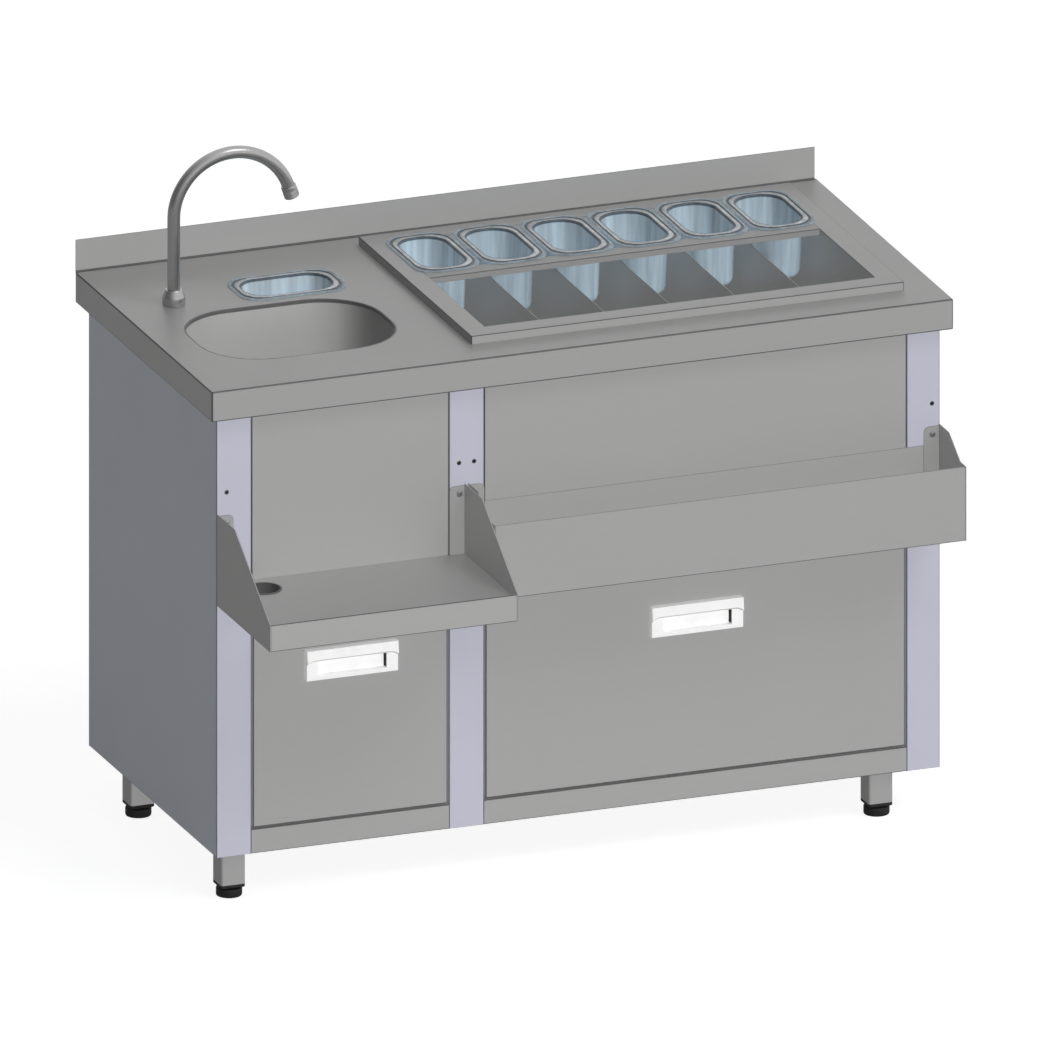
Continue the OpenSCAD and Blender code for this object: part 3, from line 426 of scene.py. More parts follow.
def clear_plastic(name, colour, alpha):
    """Clear plastic of a colour, whose alpha says how much it hides."""
    clear = Shader(name)
    flow = clear.noise(CLEAR_FLOW_SCALE, 2)
    streaks = clear.noise(STREAK_SCALE, 2, STREAK_STRETCH, 0.6)
    clear.set(Base_Color=clear.mix(shade(colour, STREAK_DARK), shade(colour, STREAK_LIGHT),
                                   streaks),
              Roughness=flow * CLEAR_VARIES + CLEAR_ROUGH,
              Alpha=(flow - 0.5) * CLEAR_VARIES + alpha)
    return clear.material


pan_plastic = clear_plastic("pan_plastic", (0.43, 0.53, 0.60), 0.62)
pan_edge = clear_plastic("pan_edge", (0.060, 0.085, 0.110), 0.9)
pan_gleam = clear_plastic("pan_gleam", (0.66, 0.84, 0.96), 0.9)

# %% [markdown]
# ## Which finish goes where
# One table names the finish of the solids that aren't plain sheet. A part that is
# folded from brushed sheet takes the grain direction of its length. Another table
# names the darker finish that the rounded edges of a finish get, because the picture
# draws every edge with a dark line; under a fold, as below the worktop's front, that
# dark strip is also painted shade. The sleeve under the shelf's hole takes the dark
# fold steel as painted shade inside the hole.

# %% Finishes of the solids
FINISHES = {
    "left_side_panel": side_paint, "right_side_panel": side_paint,
    "left_post": post_paint, "middle_post": post_paint, "right_post": post_paint,
    "left_drawer_handle": white_plastic, "right_drawer_handle": white_plastic,
    "feet": black_plastic, "spout": tap_metal, "aerator": tap_metal,
    "faucet_base": tap_metal, "sink_waste": tap_metal, "bottle_trap": pipe_plastic,
    "waste_pipe": pipe_plastic, "well_drain": pipe_plastic, "faucet_backnut": brass,
    "supply_pipe": brass, "well_casing": zinc, "bracket_screws": zinc,
    "drawer_channels": zinc, "left_drawer_runners": zinc, "right_drawer_runners": zinc,
    "backing_board": board, "well_insulation": foam, "garnish_pan": pan_plastic,
    "leg_front_left": upright_steel, "leg_front_right": upright_steel,
    "leg_back_left": upright_steel, "leg_back_right": upright_steel,
    "shelf_left_bracket": depth_steel, "shelf_right_bracket": depth_steel,
    "rail_left_bracket": depth_steel, "rail_right_bracket": depth_steel,
    "well_dividers": depth_steel, "worktop": worktop_steel, "well_frame": frame_steel,
    # The sleeve takes the dark fold steel: painted shade inside the shelf's hole.
    "well_bar": bar_steel_shaded, "shelf_sleeve": fold_steel, "shelf": shelf_steel_lit}
for number in range(1, 7):
    FINISHES[f"well_pan_{number}"] = pan_plastic
FOLD_FINISHES = {post_paint.name: fold_paint, side_paint.name: side_fold_paint}
for steel_finish in (top_steel, bar_steel_shaded, front_steel_lit, shelf_steel_lit, worktop_steel, frame_steel,
                     depth_steel, upright_steel):
    FOLD_FINISHES[steel_finish.name] = fold_steel
FRONT_WORDS = ("fascia", "front", "rail")
for name, solid in nodes.items():
    plain = front_steel_lit if any(word in name for word in FRONT_WORDS) else top_steel
    solid.data.materials.clear()
    solid.data.materials.append(FINISHES.get(name, plain))
print("finished solids:", len(nodes))

# %% [markdown]
# ## Folded edges
# A press brake leaves a small radius on every fold, and a cut edge is deburred. A
# solid has knife edges, which catch no light. The bevel modifier rounds them: a
# weight on each edge says how much, so that the folds get a wide radius and the
# cut edges a narrow one. The rounded strips get the darker finish of the table. The
# solid itself is never touched: a copy of it is merged, rounded, and stands for it.

# %% Round the edges of a solid
CUT_EDGE, FOLD_SEGMENTS = 0.3, 3
SHARP, FLAT = math.radians(30), math.radians(0.5)
MERGE = 1e-6
ON_PLANE = 0.2


def link(name, mesh):
    made = bpy.data.objects.new(name, mesh)
    bpy.context.scene.collection.objects.link(made)
    return made


def mesh_of(work, name):
    """The mesh that has been built, which ends the building."""
    mesh = bpy.data.meshes.new(name)
    work.to_mesh(mesh)
    work.free()
    return mesh


def rounded_copy(name, fold, radius, knife=None):
    """A copy of a solid with its edges rounded, which then stands for it.

    fold(a, b) says, from an edge's ends on the drawing, whether the edge is a fold
    of the full radius. Every other sharp edge gets the narrow radius of a cut, but
    one that knife(a, b) names stays as it is."""
    solid = nodes[name]
    work = bmesh.new()
    work.from_mesh(solid.data)
    bmesh.ops.remove_doubles(work, verts=work.verts, dist=MERGE)
    bmesh.ops.dissolve_limit(work, angle_limit=FLAT, verts=work.verts, edges=work.edges)
    weight = work.edges.layers.float.new("bevel_weight_edge")
    for edge in work.edges:
        if edge.calc_face_angle(0) > SHARP:
            ends = [drawn(v.co) for v in edge.verts]
            edge[weight] = 1 if fold(*ends) else CUT_EDGE / radius
            if knife and knife(*ends):
                edge[weight] = 0
    for face in work.faces:
        face.smooth = True
    mesh = mesh_of(work, name + "_folded")
    copy = link(name + "_folded", mesh)
    finish = solid.data.materials[0]
    mesh.materials.append(finish)
    mesh.materials.append(FOLD_FINISHES.get(finish.name, finish))
    bevel = copy.modifiers.new("round", "BEVEL")
    bevel.limit_method, bevel.width, bevel.segments = "WEIGHT", radius * MM, FOLD_SEGMENTS
    bevel.use_clamp_overlap = False
    bevel.material = 1
    even = copy.modifiers.new("flat_faces", "WEIGHTED_NORMAL")
    even.keep_sharp = True
    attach(copy, solid["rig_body"])
    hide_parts(name)
    return copy


def on_planes(*planes):
    """A test for an edge that lies in all of some planes, given as (axis, value)."""
    def test(a, b):
        return all(abs(end[axis] - value) < ON_PLANE
                   for axis, value in planes for end in (a, b))
    return test


def outer_folds(name, *pairs):
    """A test for the edges of a solid's box. Each pair names two of its planes,
    such as "-y+z" for the edge that is shared by the front and the top."""
    box = box_mm(name)

    def plane(side, letter):
        axis = "xyz".index(letter)
        return axis, box[side == "+"][axis]

    tests = [on_planes(plane(*pair[:2]), plane(*pair[2:])) for pair in pairs]
    return lambda a, b: any(test(a, b) for test in tests)


# %% [markdown]
# ## Rings and lofts
# Pans, the bowl, the tap and the feet are all skins over a row of rings. A ring is
# a rounded rectangle or a circle at one level. Laying quads from each ring to the
# next makes the skin, and joining the last ring to the first closes a wall.


# %% Rings, lofts and finished pieces
def rounded_ring(centre, half_x, half_y, radius, z, steps=6):
    """A rounded rectangle as a ring of points on the drawing."""
    ring = []
    for quarter, (side_x, side_y) in enumerate(((1, 1), (-1, 1), (-1, -1), (1, -1))):
        for step in range(steps + 1):
            turn = math.pi / 2 * (quarter + step / steps)
            ring.append(at(centre[0] + side_x * (half_x - radius) + radius * math.cos(turn),
                           centre[1] + side_y * (half_y - radius) + radius * math.sin(turn), z))
    return ring


def circle(centre, radius, z, count=48):
    return [at(centre[0] + radius * math.cos(2 * math.pi * i / count),
               centre[1] + radius * math.sin(2 * math.pi * i / count), z)
            for i in range(count)]


def loft(work, rings, closed=False, caps=False, marks=None):
    """Quads from ring to ring, back to the first one or with both ends filled.

    The marks give some bands, by the number of their first ring, another finish.
    """
    loops = [[work.verts.new(point) for point in ring] for ring in rings]
    followers = loops[1:] + (loops[:1] if closed else [])
    for band, (one, other) in enumerate(zip(loops, followers)):
        for i in range(len(one)):
            j = (i + 1) % len(one)
            face = work.faces.new((one[i], one[j], other[j], other[i]))
            face.material_index = (marks or {}).get(band, 0)
    if caps:
        work.faces.new(loops[0])
        work.faces.new(loops[-1])


def arc(start, end, centre, radius, steps=4):
    """Points of an arc in a section, as (across, z), between two angles in degrees."""
    turns = [math.radians(start + (end - start) * i / steps) for i in range(steps + 1)]
    return [(centre[0] + radius * math.cos(t), centre[1] + radius * math.sin(t)) for t in turns]


def finish_piece(name, mesh, finishes, body, replaced, crease=40):
    """Point the faces outwards, give the piece its finish and its body, and put it
    in the place of a solid.

    Several finishes come as a tuple, in the order of the faces' material numbers.
    Edges sharper than the crease, in degrees, are shown as edges."""
    work = bmesh.new()
    work.from_mesh(mesh)
    bmesh.ops.remove_doubles(work, verts=work.verts, dist=MERGE)
    bmesh.ops.recalc_face_normals(work, faces=work.faces)
    work.to_mesh(mesh)
    work.free()
    if not isinstance(finishes, tuple):
        finishes = (finishes,)
    numbers = [face.material_index for face in mesh.polygons]
    mesh.materials.clear()
    for finish in finishes:
        mesh.materials.append(finish)
    if len(finishes) > 1:
        mesh.polygons.foreach_set("material_index", numbers)
    mesh.shade_smooth()
    mesh.set_sharp_from_angle(angle=math.radians(crease))
    made = link(name, mesh)
    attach(made, body)
    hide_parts(replaced)


def skin(name, finishes, body, replaced, rings, crease=40, **settings):
    """A piece from one loft, with the loft's settings."""
    work = bmesh.new()
    loft(work, rings, **settings)
    finish_piece(name, mesh_of(work, name), finishes, body, replaced, crease)


# %% [markdown]
# ## Trees that repeat a small piece
# Screws, slots, feet and strainer bars repeat. A Geometry Nodes tree lays copies of
# one small mesh on points: the vertices of a mesh, a grid, or a ring. The copies are
# made real and given their material in the tree, and the result is kept as a mesh.


# %% A tree with named inputs
class Tree(Graph):
    """A Geometry Nodes tree, whose inputs are given by name and kind of socket."""

    def __init__(self, name, **inputs):
        super().__init__(bpy.data.node_groups.new(name, "GeometryNodeTree"))
        face = self.tree.interface
        face.new_socket("Geometry", in_out="OUTPUT", socket_type="NodeSocketGeometry")
        face.new_socket("Geometry", in_out="INPUT", socket_type="NodeSocketGeometry")
        self.names = {}
        for label, kind in inputs.items():
            self.names[label] = face.new_socket(
                label, in_out="INPUT", socket_type="NodeSocket" + kind).identifier
        self.inputs = self.tree.nodes.new("NodeGroupInput")

    def given(self, label):
        return Value(self, self.inputs.outputs[label])

    def copies(self, places, turn=None):
        """Copies of the given piece on places, made real and given their material,
        which end the tree. A turn about the z axis can be set for each."""
        inputs = {"Points": places, "Instance": self.node(
            "GeometryNodeObjectInfo", {"Object": self.given("Piece")}, "Geometry")}
        if turn:
            inputs["Rotation"] = self.node("CombineXYZ", {"Z": turn})
        laid = self.node("GeometryNodeInstanceOnPoints", inputs)
        real = self.node("GeometryNodeRealizeInstances", {"Geometry": laid})
        finished = self.node("GeometryNodeSetMaterial", {
            "Geometry": real, "Material": self.given("Finish")})
        self.join(finished, self.tree.nodes.new("NodeGroupOutput").inputs[0])

    def mesh(self, name, points=(), **values):
        """The mesh that the tree makes, from points of the scene and its inputs."""
        carrier_mesh = bpy.data.meshes.new(name)
        carrier_mesh.from_pydata([tuple(point) for point in points], [], [])
        carrier = link(name + "_points", carrier_mesh)
        modifier = carrier.modifiers.new("tree", "NODES")
        modifier.node_group = self.tree
        for label, value in values.items():
            modifier[self.names[label]] = value
        carrier.update_tag()
        graph = bpy.context.evaluated_depsgraph_get()
        result = bpy.data.meshes.new_from_object(carrier.evaluated_get(graph))
        carrier.modifiers.remove(modifier)
        bpy.data.objects.remove(carrier)
        return result


def pattern_piece(name, *lofts):
    """A small mesh round the origin, from lofts with closed ends, which a tree copies.

    It is removed after use."""
    work = bmesh.new()
    for rings in lofts:
        loft(work, rings, caps=True)
    return link(name, mesh_of(work, name))


on_points = Tree("copies_on_points", Piece="Object", Finish="Material")
on_points.copies(on_points.given("Geometry"))

in_a_ring = Tree("copies_in_a_ring", Piece="Object", Finish="Material", Count="Int")
ring_count = in_a_ring.given("Count")
full_turns = in_a_ring.node("GeometryNodeInputIndex") * (2 * math.pi)
in_a_ring.copies(
    in_a_ring.node("GeometryNodeMeshLine", {"Count": ring_count, "Offset": (0, 0, 0)}),
    full_turns.maths("DIVIDE", full_turns, ring_count))
print("trees:", on_points.tree.name, in_a_ring.tree.name)

# %% [markdown]
# ## The folded sheets
# The worktop is one sheet with its edges folded down 50 mm and its back folded up.
# Its outer folds have the widest radius of the station. Panels, posts, rails and
# drawer fronts are trays with small folds round their faces. The table says which
# edges of each solid are folds, by the sides of its box that they lie on. The notch
# at the upstand's right end keeps its sharp edges, where a bevel would stick out.

# %% Worktop
WORKTOP_FOLD, TRAY_FOLD = 2.2, 1.4
EDGE_LOW, DECK = 800, 850
UPSTAND_END, NOTCH_REACH = 1226, 0.5
top_low, top_high = box_mm("worktop")
deck_edges = [on_planes((axis, end[axis]), (2, level))
              for axis, end, level in ((1, top_low, DECK), (0, top_low, DECK), (0, top_high, DECK),
                                       (1, top_low, EDGE_LOW), (0, top_low, EDGE_LOW),
                                       (0, top_high, EDGE_LOW), (1, top_high, EDGE_LOW))]
deck_edges += [on_planes((0, x_end[0]), (1, y_end[1]))
               for x_end in (top_low, top_high) for y_end in (top_low, top_high)]


def at_upstand_foot(a, b):
    """Whether an edge meets the notch where the upstand's end stands on the deck."""
    foot = Vector((UPSTAND_END, top_high.y, DECK))
    return min((a - foot).length, (b - foot).length) < NOTCH_REACH


rounded_copy("worktop", lambda a, b: any(test(a, b) for test in deck_edges), WORKTOP_FOLD,
             at_upstand_foot)

# %% Trays, panels and rails
FACE = ("-y-x", "-y+x", "-y-z", "-y+z")
BOX = ("-x-z", "+x-z", "-y-z", "+y-z", "-x-y", "+x-y", "-x+y", "+x+y")
FOLDS = {
    "well_frame": ("-x+z", "+x+z", "-y+z", "+y+z", "-x-y", "+x-y", "-x+y", "+x+y"),
    "well_bar": ("-y+z", "+y+z"),
    "left_fascia": FACE, "right_fascia": FACE,
    "left_drawer_front": FACE, "right_drawer_front": FACE,
    "left_base_rail": ("-y-z", "-y+z"), "right_base_rail": ("-y-z", "-y+z"),
    "left_post": ("-y-x", "-y+x"), "middle_post": ("-y-x", "-y+x"),
    "right_post": ("-y-x", "-y+x"),
    "left_side_panel": ("-x-z", "-x+z"), "right_side_panel": ("+x-z", "+x+z"),
    "shelf": ("-y-z", "-y+z", "+y+z"), "bottle_rail": ("-y-z", "+y-z"),
    "shelf_left_bracket": ("-x+y",), "shelf_right_bracket": ("+x+y",),
    "rail_left_bracket": ("-x+y",), "rail_right_bracket": ("+x+y",),
    "left_drawer_box": BOX, "right_drawer_box": BOX}
CUT_ONLY = (
    "back_panel", "bottom_panel", "partition", "well_dividers", "well_liner", "well_floor_grid",
    "leg_front_left", "leg_front_right", "leg_back_left", "leg_back_right", "shelf_sleeve",
    "well_casing", "drawer_channels", "left_drawer_runners", "right_drawer_runners",
    "bottle_trap", "waste_pipe", "supply_pipe", "well_drain", "faucet_backnut",
    "backing_board", "well_insulation")
for name, pairs in [*FOLDS.items(), *((name, ()) for name in CUT_ONLY)]:
    rounded_copy(name, outer_folds(name, *pairs), TRAY_FOLD)
print("folded pieces:", 1 + len(FOLDS), "with cut edges only:", len(CUT_ONLY))

# %% [markdown]
# ## Small pans
# A pan is moulded: its walls lean in, its floor meets them in a wide curve, and a
# raised bead runs round its rim, inside the outer edge, to stiffen it. The bead
# shows as a second outline. One loft goes up the outside, over the rim and
# down the inside, so that the wall is a real wall and light can pass through it.
# Each row of the two tables is a ring: how far out on the rim or how far inside the
# wall it lies, how far above the rim's top, and the finish of the band that follows.

# %% Pans
PAN_DEPTH, PAN_TAPER, PAN_WALL = 93, 3, 1.5
PAN_CORNER, RIM_CORNER, RIM_THICK = 36, 30, 2
SIDE_LEDGE, END_LEDGE = 14, 15
SOLE = 12
BEAD = 1.2
# The bead's top takes a lighter colour, a painted highlight.
PLAIN, EDGE, PAINTED_HIGHLIGHT = 0, 1, 2
RIM_ROWS = ((0.96, -RIM_THICK, PLAIN), (1, 0.4 - RIM_THICK, PLAIN), (1, -0.6, PLAIN),
            (0.95, -0.1, PLAIN), (0.9, 0, PLAIN), (0.68, 0, EDGE), (0.62, -BEAD, EDGE),
            (0.50, -BEAD, EDGE), (0.44, 0, PAINTED_HIGHLIGHT), (0.08, 0, EDGE))
LIP_ROWS = ((0.4, -0.25, EDGE), (1.1, -0.9, EDGE), (PAN_WALL, -2, EDGE), (PAN_WALL, -4, PLAIN))


def pan(node, ledge_x, ledge_y):
    """A pan in the place of its solid, with its rim's ledges given."""
    low, high = box_mm(node)
    centre, half = (low + high) / 2, (high - low) / 2
    top, under = high.z, high.z - RIM_THICK
    floor = under - PAN_DEPTH

    def wall(inset, z):
        return rounded_ring(centre, half.x - ledge_x - inset, half.y - ledge_y - inset,
                            PAN_CORNER - inset, z)

    def rim(share, z):
        return rounded_ring(centre, half.x - ledge_x * (1 - share),
                            half.y - ledge_y * (1 - share),
                            PAN_CORNER + (RIM_CORNER - PAN_CORNER) * share, z)

    outside = [wall(PAN_TAPER + across, z)
               for across, z in arc(270, 180, (SOLE, floor + SOLE), SOLE)]
    rings = outside + [wall(0, under)]
    first = len(rings)
    rings += [rim(share, top + above) for share, above, _ in RIM_ROWS]
    rings += [wall(inset, top + above) for inset, above, _ in LIP_ROWS]
    marks = {first + i: row[2] for i, row in enumerate(RIM_ROWS + LIP_ROWS)}
    inner_sole = SOLE - PAN_WALL
    rings += [wall(PAN_TAPER + PAN_WALL + across, z)
              for across, z in arc(180, 270, (inner_sole, floor + SOLE), inner_sole)]
    skin(node + "_moulded", (pan_plastic, pan_edge, pan_gleam), nodes[node]["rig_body"], node,
         rings, crease=50, caps=True, marks=marks)


for number in range(1, 7):
    pan(f"well_pan_{number}", SIDE_LEDGE, END_LEDGE)
pan("garnish_pan", END_LEDGE, SIDE_LEDGE)
print("pans: 7")

# %% [markdown]
# ## Sink bowl and waste
# The bowl is pressed from sheet: its walls run into the floor in a wide curve, and
# the floor falls to the waste. The rings change step by step from the bowl's
# outline to the circle round the waste. The waste has a dished flange and a
# strainer of bars in a ring.

# %% Bowl
bowl_low, bowl_high = box_mm("sink_bowl")
bowl_centre = (bowl_low + bowl_high) / 2
BOWL_WALL, BOWL_DRAFT, BOWL_CURVE, BOWL_FALL = 1.5, 2, 28, 5
BOWL_STEPS, CURVE_STEPS = 12, 8
BOWL_BEND, BEND_MIDDLE = 1.5, 0.44
FUNNEL = ((0.35, 1), (0.7, 2), (1, 3))
RECESS, NECK = 37, 26
NEARLY_ROUND = 0.9999
half_x = (bowl_high.x - bowl_low.x) / 2 - BOWL_FLANGE
half_y = (bowl_high.y - bowl_low.y) / 2 - BOWL_FLANGE
bowl_top, bowl_floor = bowl_high.z, bowl_low.z + BOWL_WALL


def bowl_ring(inset, z, share=0, circle_radius=RECESS):
    """The bowl's outline, moved in, and its share of the way to the waste's circle."""
    def mix(value):
        return (value - inset) * (1 - share) + circle_radius * share
    return rounded_ring(bowl_centre, mix(half_x), mix(half_y), mix(BOWL_CORNER) * NEARLY_ROUND,
                        z, BOWL_STEPS)


def bowl_profile(wall, bend):
    """Rings down one side of the bowl's sheet, at a distance from its inner side.

    The bend is how wide the sheet rounds over from the flange to the wall."""
    curve = BOWL_CURVE + wall
    fall = bowl_floor + BOWL_FALL - wall
    rings = [bowl_ring(-BOWL_FLANGE, bowl_top - wall), bowl_ring(-wall - bend, bowl_top - wall)]
    if bend:
        rings.append(bowl_ring(-BEND_MIDDLE, bowl_top - BEND_MIDDLE))
    rings.append(bowl_ring(-wall, bowl_top - BOWL_BEND - wall))
    rings += [bowl_ring(BOWL_DRAFT - wall + across, z)
              for across, z in arc(180, 270, (curve, fall + curve), curve, CURVE_STEPS)]
    inset = BOWL_DRAFT - wall + curve
    rings += [bowl_ring(inset, fall - drop, share) for share, drop in FUNNEL]
    rings += [bowl_ring(0, bowl_floor - wall, 1, radius) for radius in (RECESS - 1 - wall, NECK)]
    return rings


skin("sink_bowl_pressed", bowl_steel_lit_shaded, "station", "sink_bowl",
     bowl_profile(0, BOWL_BEND) + bowl_profile(BOWL_WALL, 0)[::-1], closed=True)

# %% Waste with its strainer
HOME = drawn(Vector((0, 0, 0)))
STRAINER_BARS, BAR_MIDDLE, BAR_HALF_LENGTH, BAR_HALF_WIDTH, BAR_CORNER = 12, 15, 9.2, 1.3, 0.8
BAR_ROWS = ((0.3, -8), (0, -7.6), (0, -5.9), (0.3, -5.5))
waste_section = [(34.6, 0), (35, 0.5), (34.7, 1.4), (32, 1.9), (29, 1.5), (26, 0), (23.6, -3.5),
                 (23, -5), (23, -38), (25, -38), (25, -1.5), (25, 0)]
nut_section = [(25.5, -10.5), (30.2, -10.5), (31, -9.8), (31, -2.4), (30.2, -1.6), (25.5, -1.6)]
boss_section = [(0.5, -8), (6, -8), (7, -7), (7, -5), (5.5, -3.6), (3, -3), (0.5, -2.9)]
fitting = bmesh.new()
for section, settings in ((waste_section, {"closed": True}), (nut_section, {"closed": True}),
                          (boss_section, {"caps": True})):
    loft(fitting, [circle(bowl_centre, radius, bowl_floor + z) for radius, z in section],
         **settings)
bar = pattern_piece("strainer_bar", [
    rounded_ring(HOME + Vector((BAR_MIDDLE, 0, 0)), BAR_HALF_LENGTH - inset,
                 BAR_HALF_WIDTH - inset, BAR_CORNER - inset / 2, z, 2) for inset, z in BAR_ROWS])
strainer = in_a_ring.mesh("strainer", Piece=bar, Finish=tap_metal, Count=STRAINER_BARS)
bpy.data.objects.remove(bar)
strainer.transform(Matrix.Translation(at(bowl_centre.x, bowl_centre.y, bowl_floor)))
fitting.from_mesh(strainer)
finish_piece("sink_waste_turned", mesh_of(fitting, "sink_waste_turned"), tap_metal, "station",
             "sink_waste")
print("strainer bars:", STRAINER_BARS)

# %% [markdown]
# ## Tap
# The tap is turned and bent: a base with a cone, a thin tube that goes up and over,
# and a nozzle with fine ribs to grip. The tube is a loft of circles that turn with
# the path, out along its outside and back along its bore.

# %% Tap base
tap = (box_mm("faucet_base")[0] + box_mm("faucet_base")[1]) / 2
TUBE, TUBE_WALL = 10, 1.5
base_section = [(6, -62), (11.5, -62), (12, -61.5), (12, 0), (17.5, 0), (18, 0.6), (18, 13.4),
                (17.6, 14.6), (16.9, 15.6), (13.6, 24.8), (12.8, 25.8), (12, 26), (10.4, 26),
                (10.1, 25.6), (10.1, 6), (6, 6)]
skin("faucet_base_turned", tap_metal, "station", "faucet_base",
     [circle(tap, radius, DECK + z) for radius, z in base_section], crease=35, closed=True)

# %% Spout
ARCH, SWEEP, SPOUT_LOW, SPOUT_TURN = 97.5, 161, 856.3, 991
SPOUT_LIP, ARCH_STEPS, ROUND = 0.4, 44, 32


def tube_ring(angle, radius, along=0, z=None):
    """A circle across the spout, at an angle of its arch or on its straight part."""
    turn = math.radians(angle)
    out, ahead = Vector((-math.cos(turn), 0, math.sin(turn))), Vector(
        (math.sin(turn), 0, math.cos(turn)))
    middle = at(tap.x + ARCH, tap.y, SPOUT_TURN) + (out * ARCH + ahead * along) * MM
    if z is not None:
        middle.z = z * MM
    return [middle + (out * math.cos(t) + Vector((0, 1, 0)) * math.sin(t)) * radius * MM
            for t in (2 * math.pi * i / ROUND for i in range(ROUND))]


def spout_side(radius, lip):
    """Rings up and along one side of the tube's wall, with a lip at its foot."""
    rings = [tube_ring(0, radius - lip, z=SPOUT_LOW), tube_ring(0, radius, z=SPOUT_LOW + lip)]
    rings += [tube_ring(SWEEP * i / ARCH_STEPS, radius) for i in range(ARCH_STEPS + 1)]
    return rings


skin("spout_bent", tap_metal, "swivel_spout", "spout",
     spout_side(TUBE, SPOUT_LIP) + spout_side(TUBE - TUBE_WALL, 0)[::-1], closed=True)

# %% Nozzle
RIBS, RIB_MIDDLE, RIB_ENDS = 36, 11.75, (8.8, 17.6)
RIB_DEEP, RIB_WIDE, RIB_CORNER = 0.28, 0.3, 0.25
nozzle_section = [(8.6, 0), (11.2, 0), (11.8, 0.5), (12, 1.2), (12, 6.6), (11.6, 7.2), (11.6, 8),
                  (11.8, 8.4), (11.8, 18), (12, 18.4), (12, 19), (11.6, 19.7), (10.9, 20),
                  (9.6, 20), (9.3, 19.6), (9.2, 16), (8.6, 15.4)]
screen_section = [(0.4, 16.6), (9.1, 16.6), (9.1, 17.2), (0.4, 17.2)]
nozzle = bmesh.new()
for section, settings in ((nozzle_section, {"closed": True}), (screen_section, {"caps": True})):
    loft(nozzle, [tube_ring(SWEEP, radius, along) for radius, along in section], **settings)
rib = pattern_piece("nozzle_rib", [
    rounded_ring(HOME + Vector((RIB_MIDDLE, 0, 0)), RIB_DEEP, RIB_WIDE, RIB_CORNER, z, 2)
    for z in RIB_ENDS])
ribs = in_a_ring.mesh("nozzle_ribs", Piece=rib, Finish=tap_metal, Count=RIBS)
bpy.data.objects.remove(rib)
tip = tube_ring(SWEEP, 0)[0]
ribs.transform(Matrix.Translation(tip) @ Matrix.Rotation(math.radians(SWEEP), 4, "Y"))
nozzle.from_mesh(ribs)
finish_piece("aerator_ribbed", mesh_of(nozzle, "aerator_ribbed"), tap_metal, "swivel_spout",
             "aerator", crease=30)
print("nozzle ribs:", RIBS)

# %% [markdown]
# ## Handles
# Each handle is a moulded white plate. A hood overhangs its upper third, and its
# lower edge bends down at both ends. Under it is a hollow for the fingers. The front is
# a grid of points whose depth changes over narrow steps, so that every step gets a
# small soft edge, and the sides are pulled back to the drawer. The hollow's right
# end is painted black and the line under the hood painted grey: both are painted shade.

# %% Handles
EDGE_STEPS = ((0, 1.3), (0.35, 0.4), (1.2, 0))
HOLLOW_X, HOLLOW_LOW, SOFT = 20, 8, 0.5
PLATE_FRONT, HOOD_FRONT, HOLLOW_BACK = 10, 6, 18
HOOD_HEIGHT, HOOD_DIP, DIP_WIDTH, HOOD_TOP = 18, 6, 14, 4
HOOD_CHAMFER, HOOD_LEAN, SHADED_END_WIDTH = 3, 2, 1.5
PLATE_COLUMNS, HOLLOW_COLUMN, COLUMN_STEP = (4, 7, 10, 14), 24, 8


def handle(node):
    """A handle in the place of its solid."""
    low, high = box_mm(node)
    width, height, mount = high.x - low.x, high.z - low.z, high.y
    plate = (*PLATE_COLUMNS, HOLLOW_X - SOFT)
    hollows = (HOLLOW_X, HOLLOW_X + SHADED_END_WIDTH,
               *range(HOLLOW_COLUMN, int(width / 2) + 1, COLUMN_STEP))
    columns = [(x, ease, False) for x, ease in EDGE_STEPS]
    columns += [(x, 0, False) for x in plate] + [(x, 0, True) for x in hollows]
    columns += [(width - x, ease, hollow) for x, ease, hollow in columns[::-1]]
    work = bmesh.new()
    grid = []
    for x, ease, hollow in columns:
        from_end = min(x, width - x)
        dip = HOOD_DIP * (1 - min(from_end / DIP_WIDTH, 1)) ** 2
        line = height - HOOD_HEIGHT - dip
        deep = HOLLOW_BACK if hollow else PLATE_FRONT
        rows = [(z, PLATE_FRONT + step) for z, step in EDGE_STEPS]
        rows += [(HOLLOW_LOW - SOFT, PLATE_FRONT), (HOLLOW_LOW, deep), (line - SOFT, deep),
                 (line, HOOD_FRONT + HOOD_CHAMFER), (line + HOOD_CHAMFER, HOOD_FRONT),
                 (height - HOOD_TOP, HOOD_FRONT + HOOD_LEAN)]
        rows += [(height - z, HOOD_FRONT + HOOD_LEAN + step) for z, step in EDGE_STEPS[::-1]]
        grid.append([work.verts.new(at(low.x + x, min(y + ease, mount), low.z + z))
                     for z, y in rows])
    first_row, last_row = len(EDGE_STEPS) + 1, len(EDGE_STEPS) + 3
    for (x, *_), one, other in zip(columns, grid, grid[1:]):
        for i in range(len(one) - 1):
            face = work.faces.new((one[i], other[i], other[i + 1], one[i + 1]))
            # Painted shade: black on the hollow's right end, grey on the chamfer under the hood.
            in_shaded_end = width - HOLLOW_X - SHADED_END_WIDTH <= x < width - HOLLOW_X + SOFT
            face.material_index = int(in_shaded_end and first_row <= i < last_row) + 2 * (i == last_row)
    border = (grid[0] + [column[-1] for column in grid[1:]]
              + grid[-1][-2::-1] + [column[0] for column in grid[-2:0:-1]])
    pulled = [work.verts.new((v.co.x, at(0, mount, 0).y, v.co.z)) for v in border]
    for i in range(len(border)):
        j = (i + 1) % len(border)
        work.faces.new((border[i], border[j], pulled[j], pulled[i]))
    work.faces.new(pulled)
    finish_piece(node + "_moulded", mesh_of(work, node + "_moulded"),
                 (white_plastic, black_plastic, pipe_plastic), nodes[node]["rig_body"], node,
                 crease=35)


handle("left_drawer_handle")
handle("right_drawer_handle")
print("handles: 2")

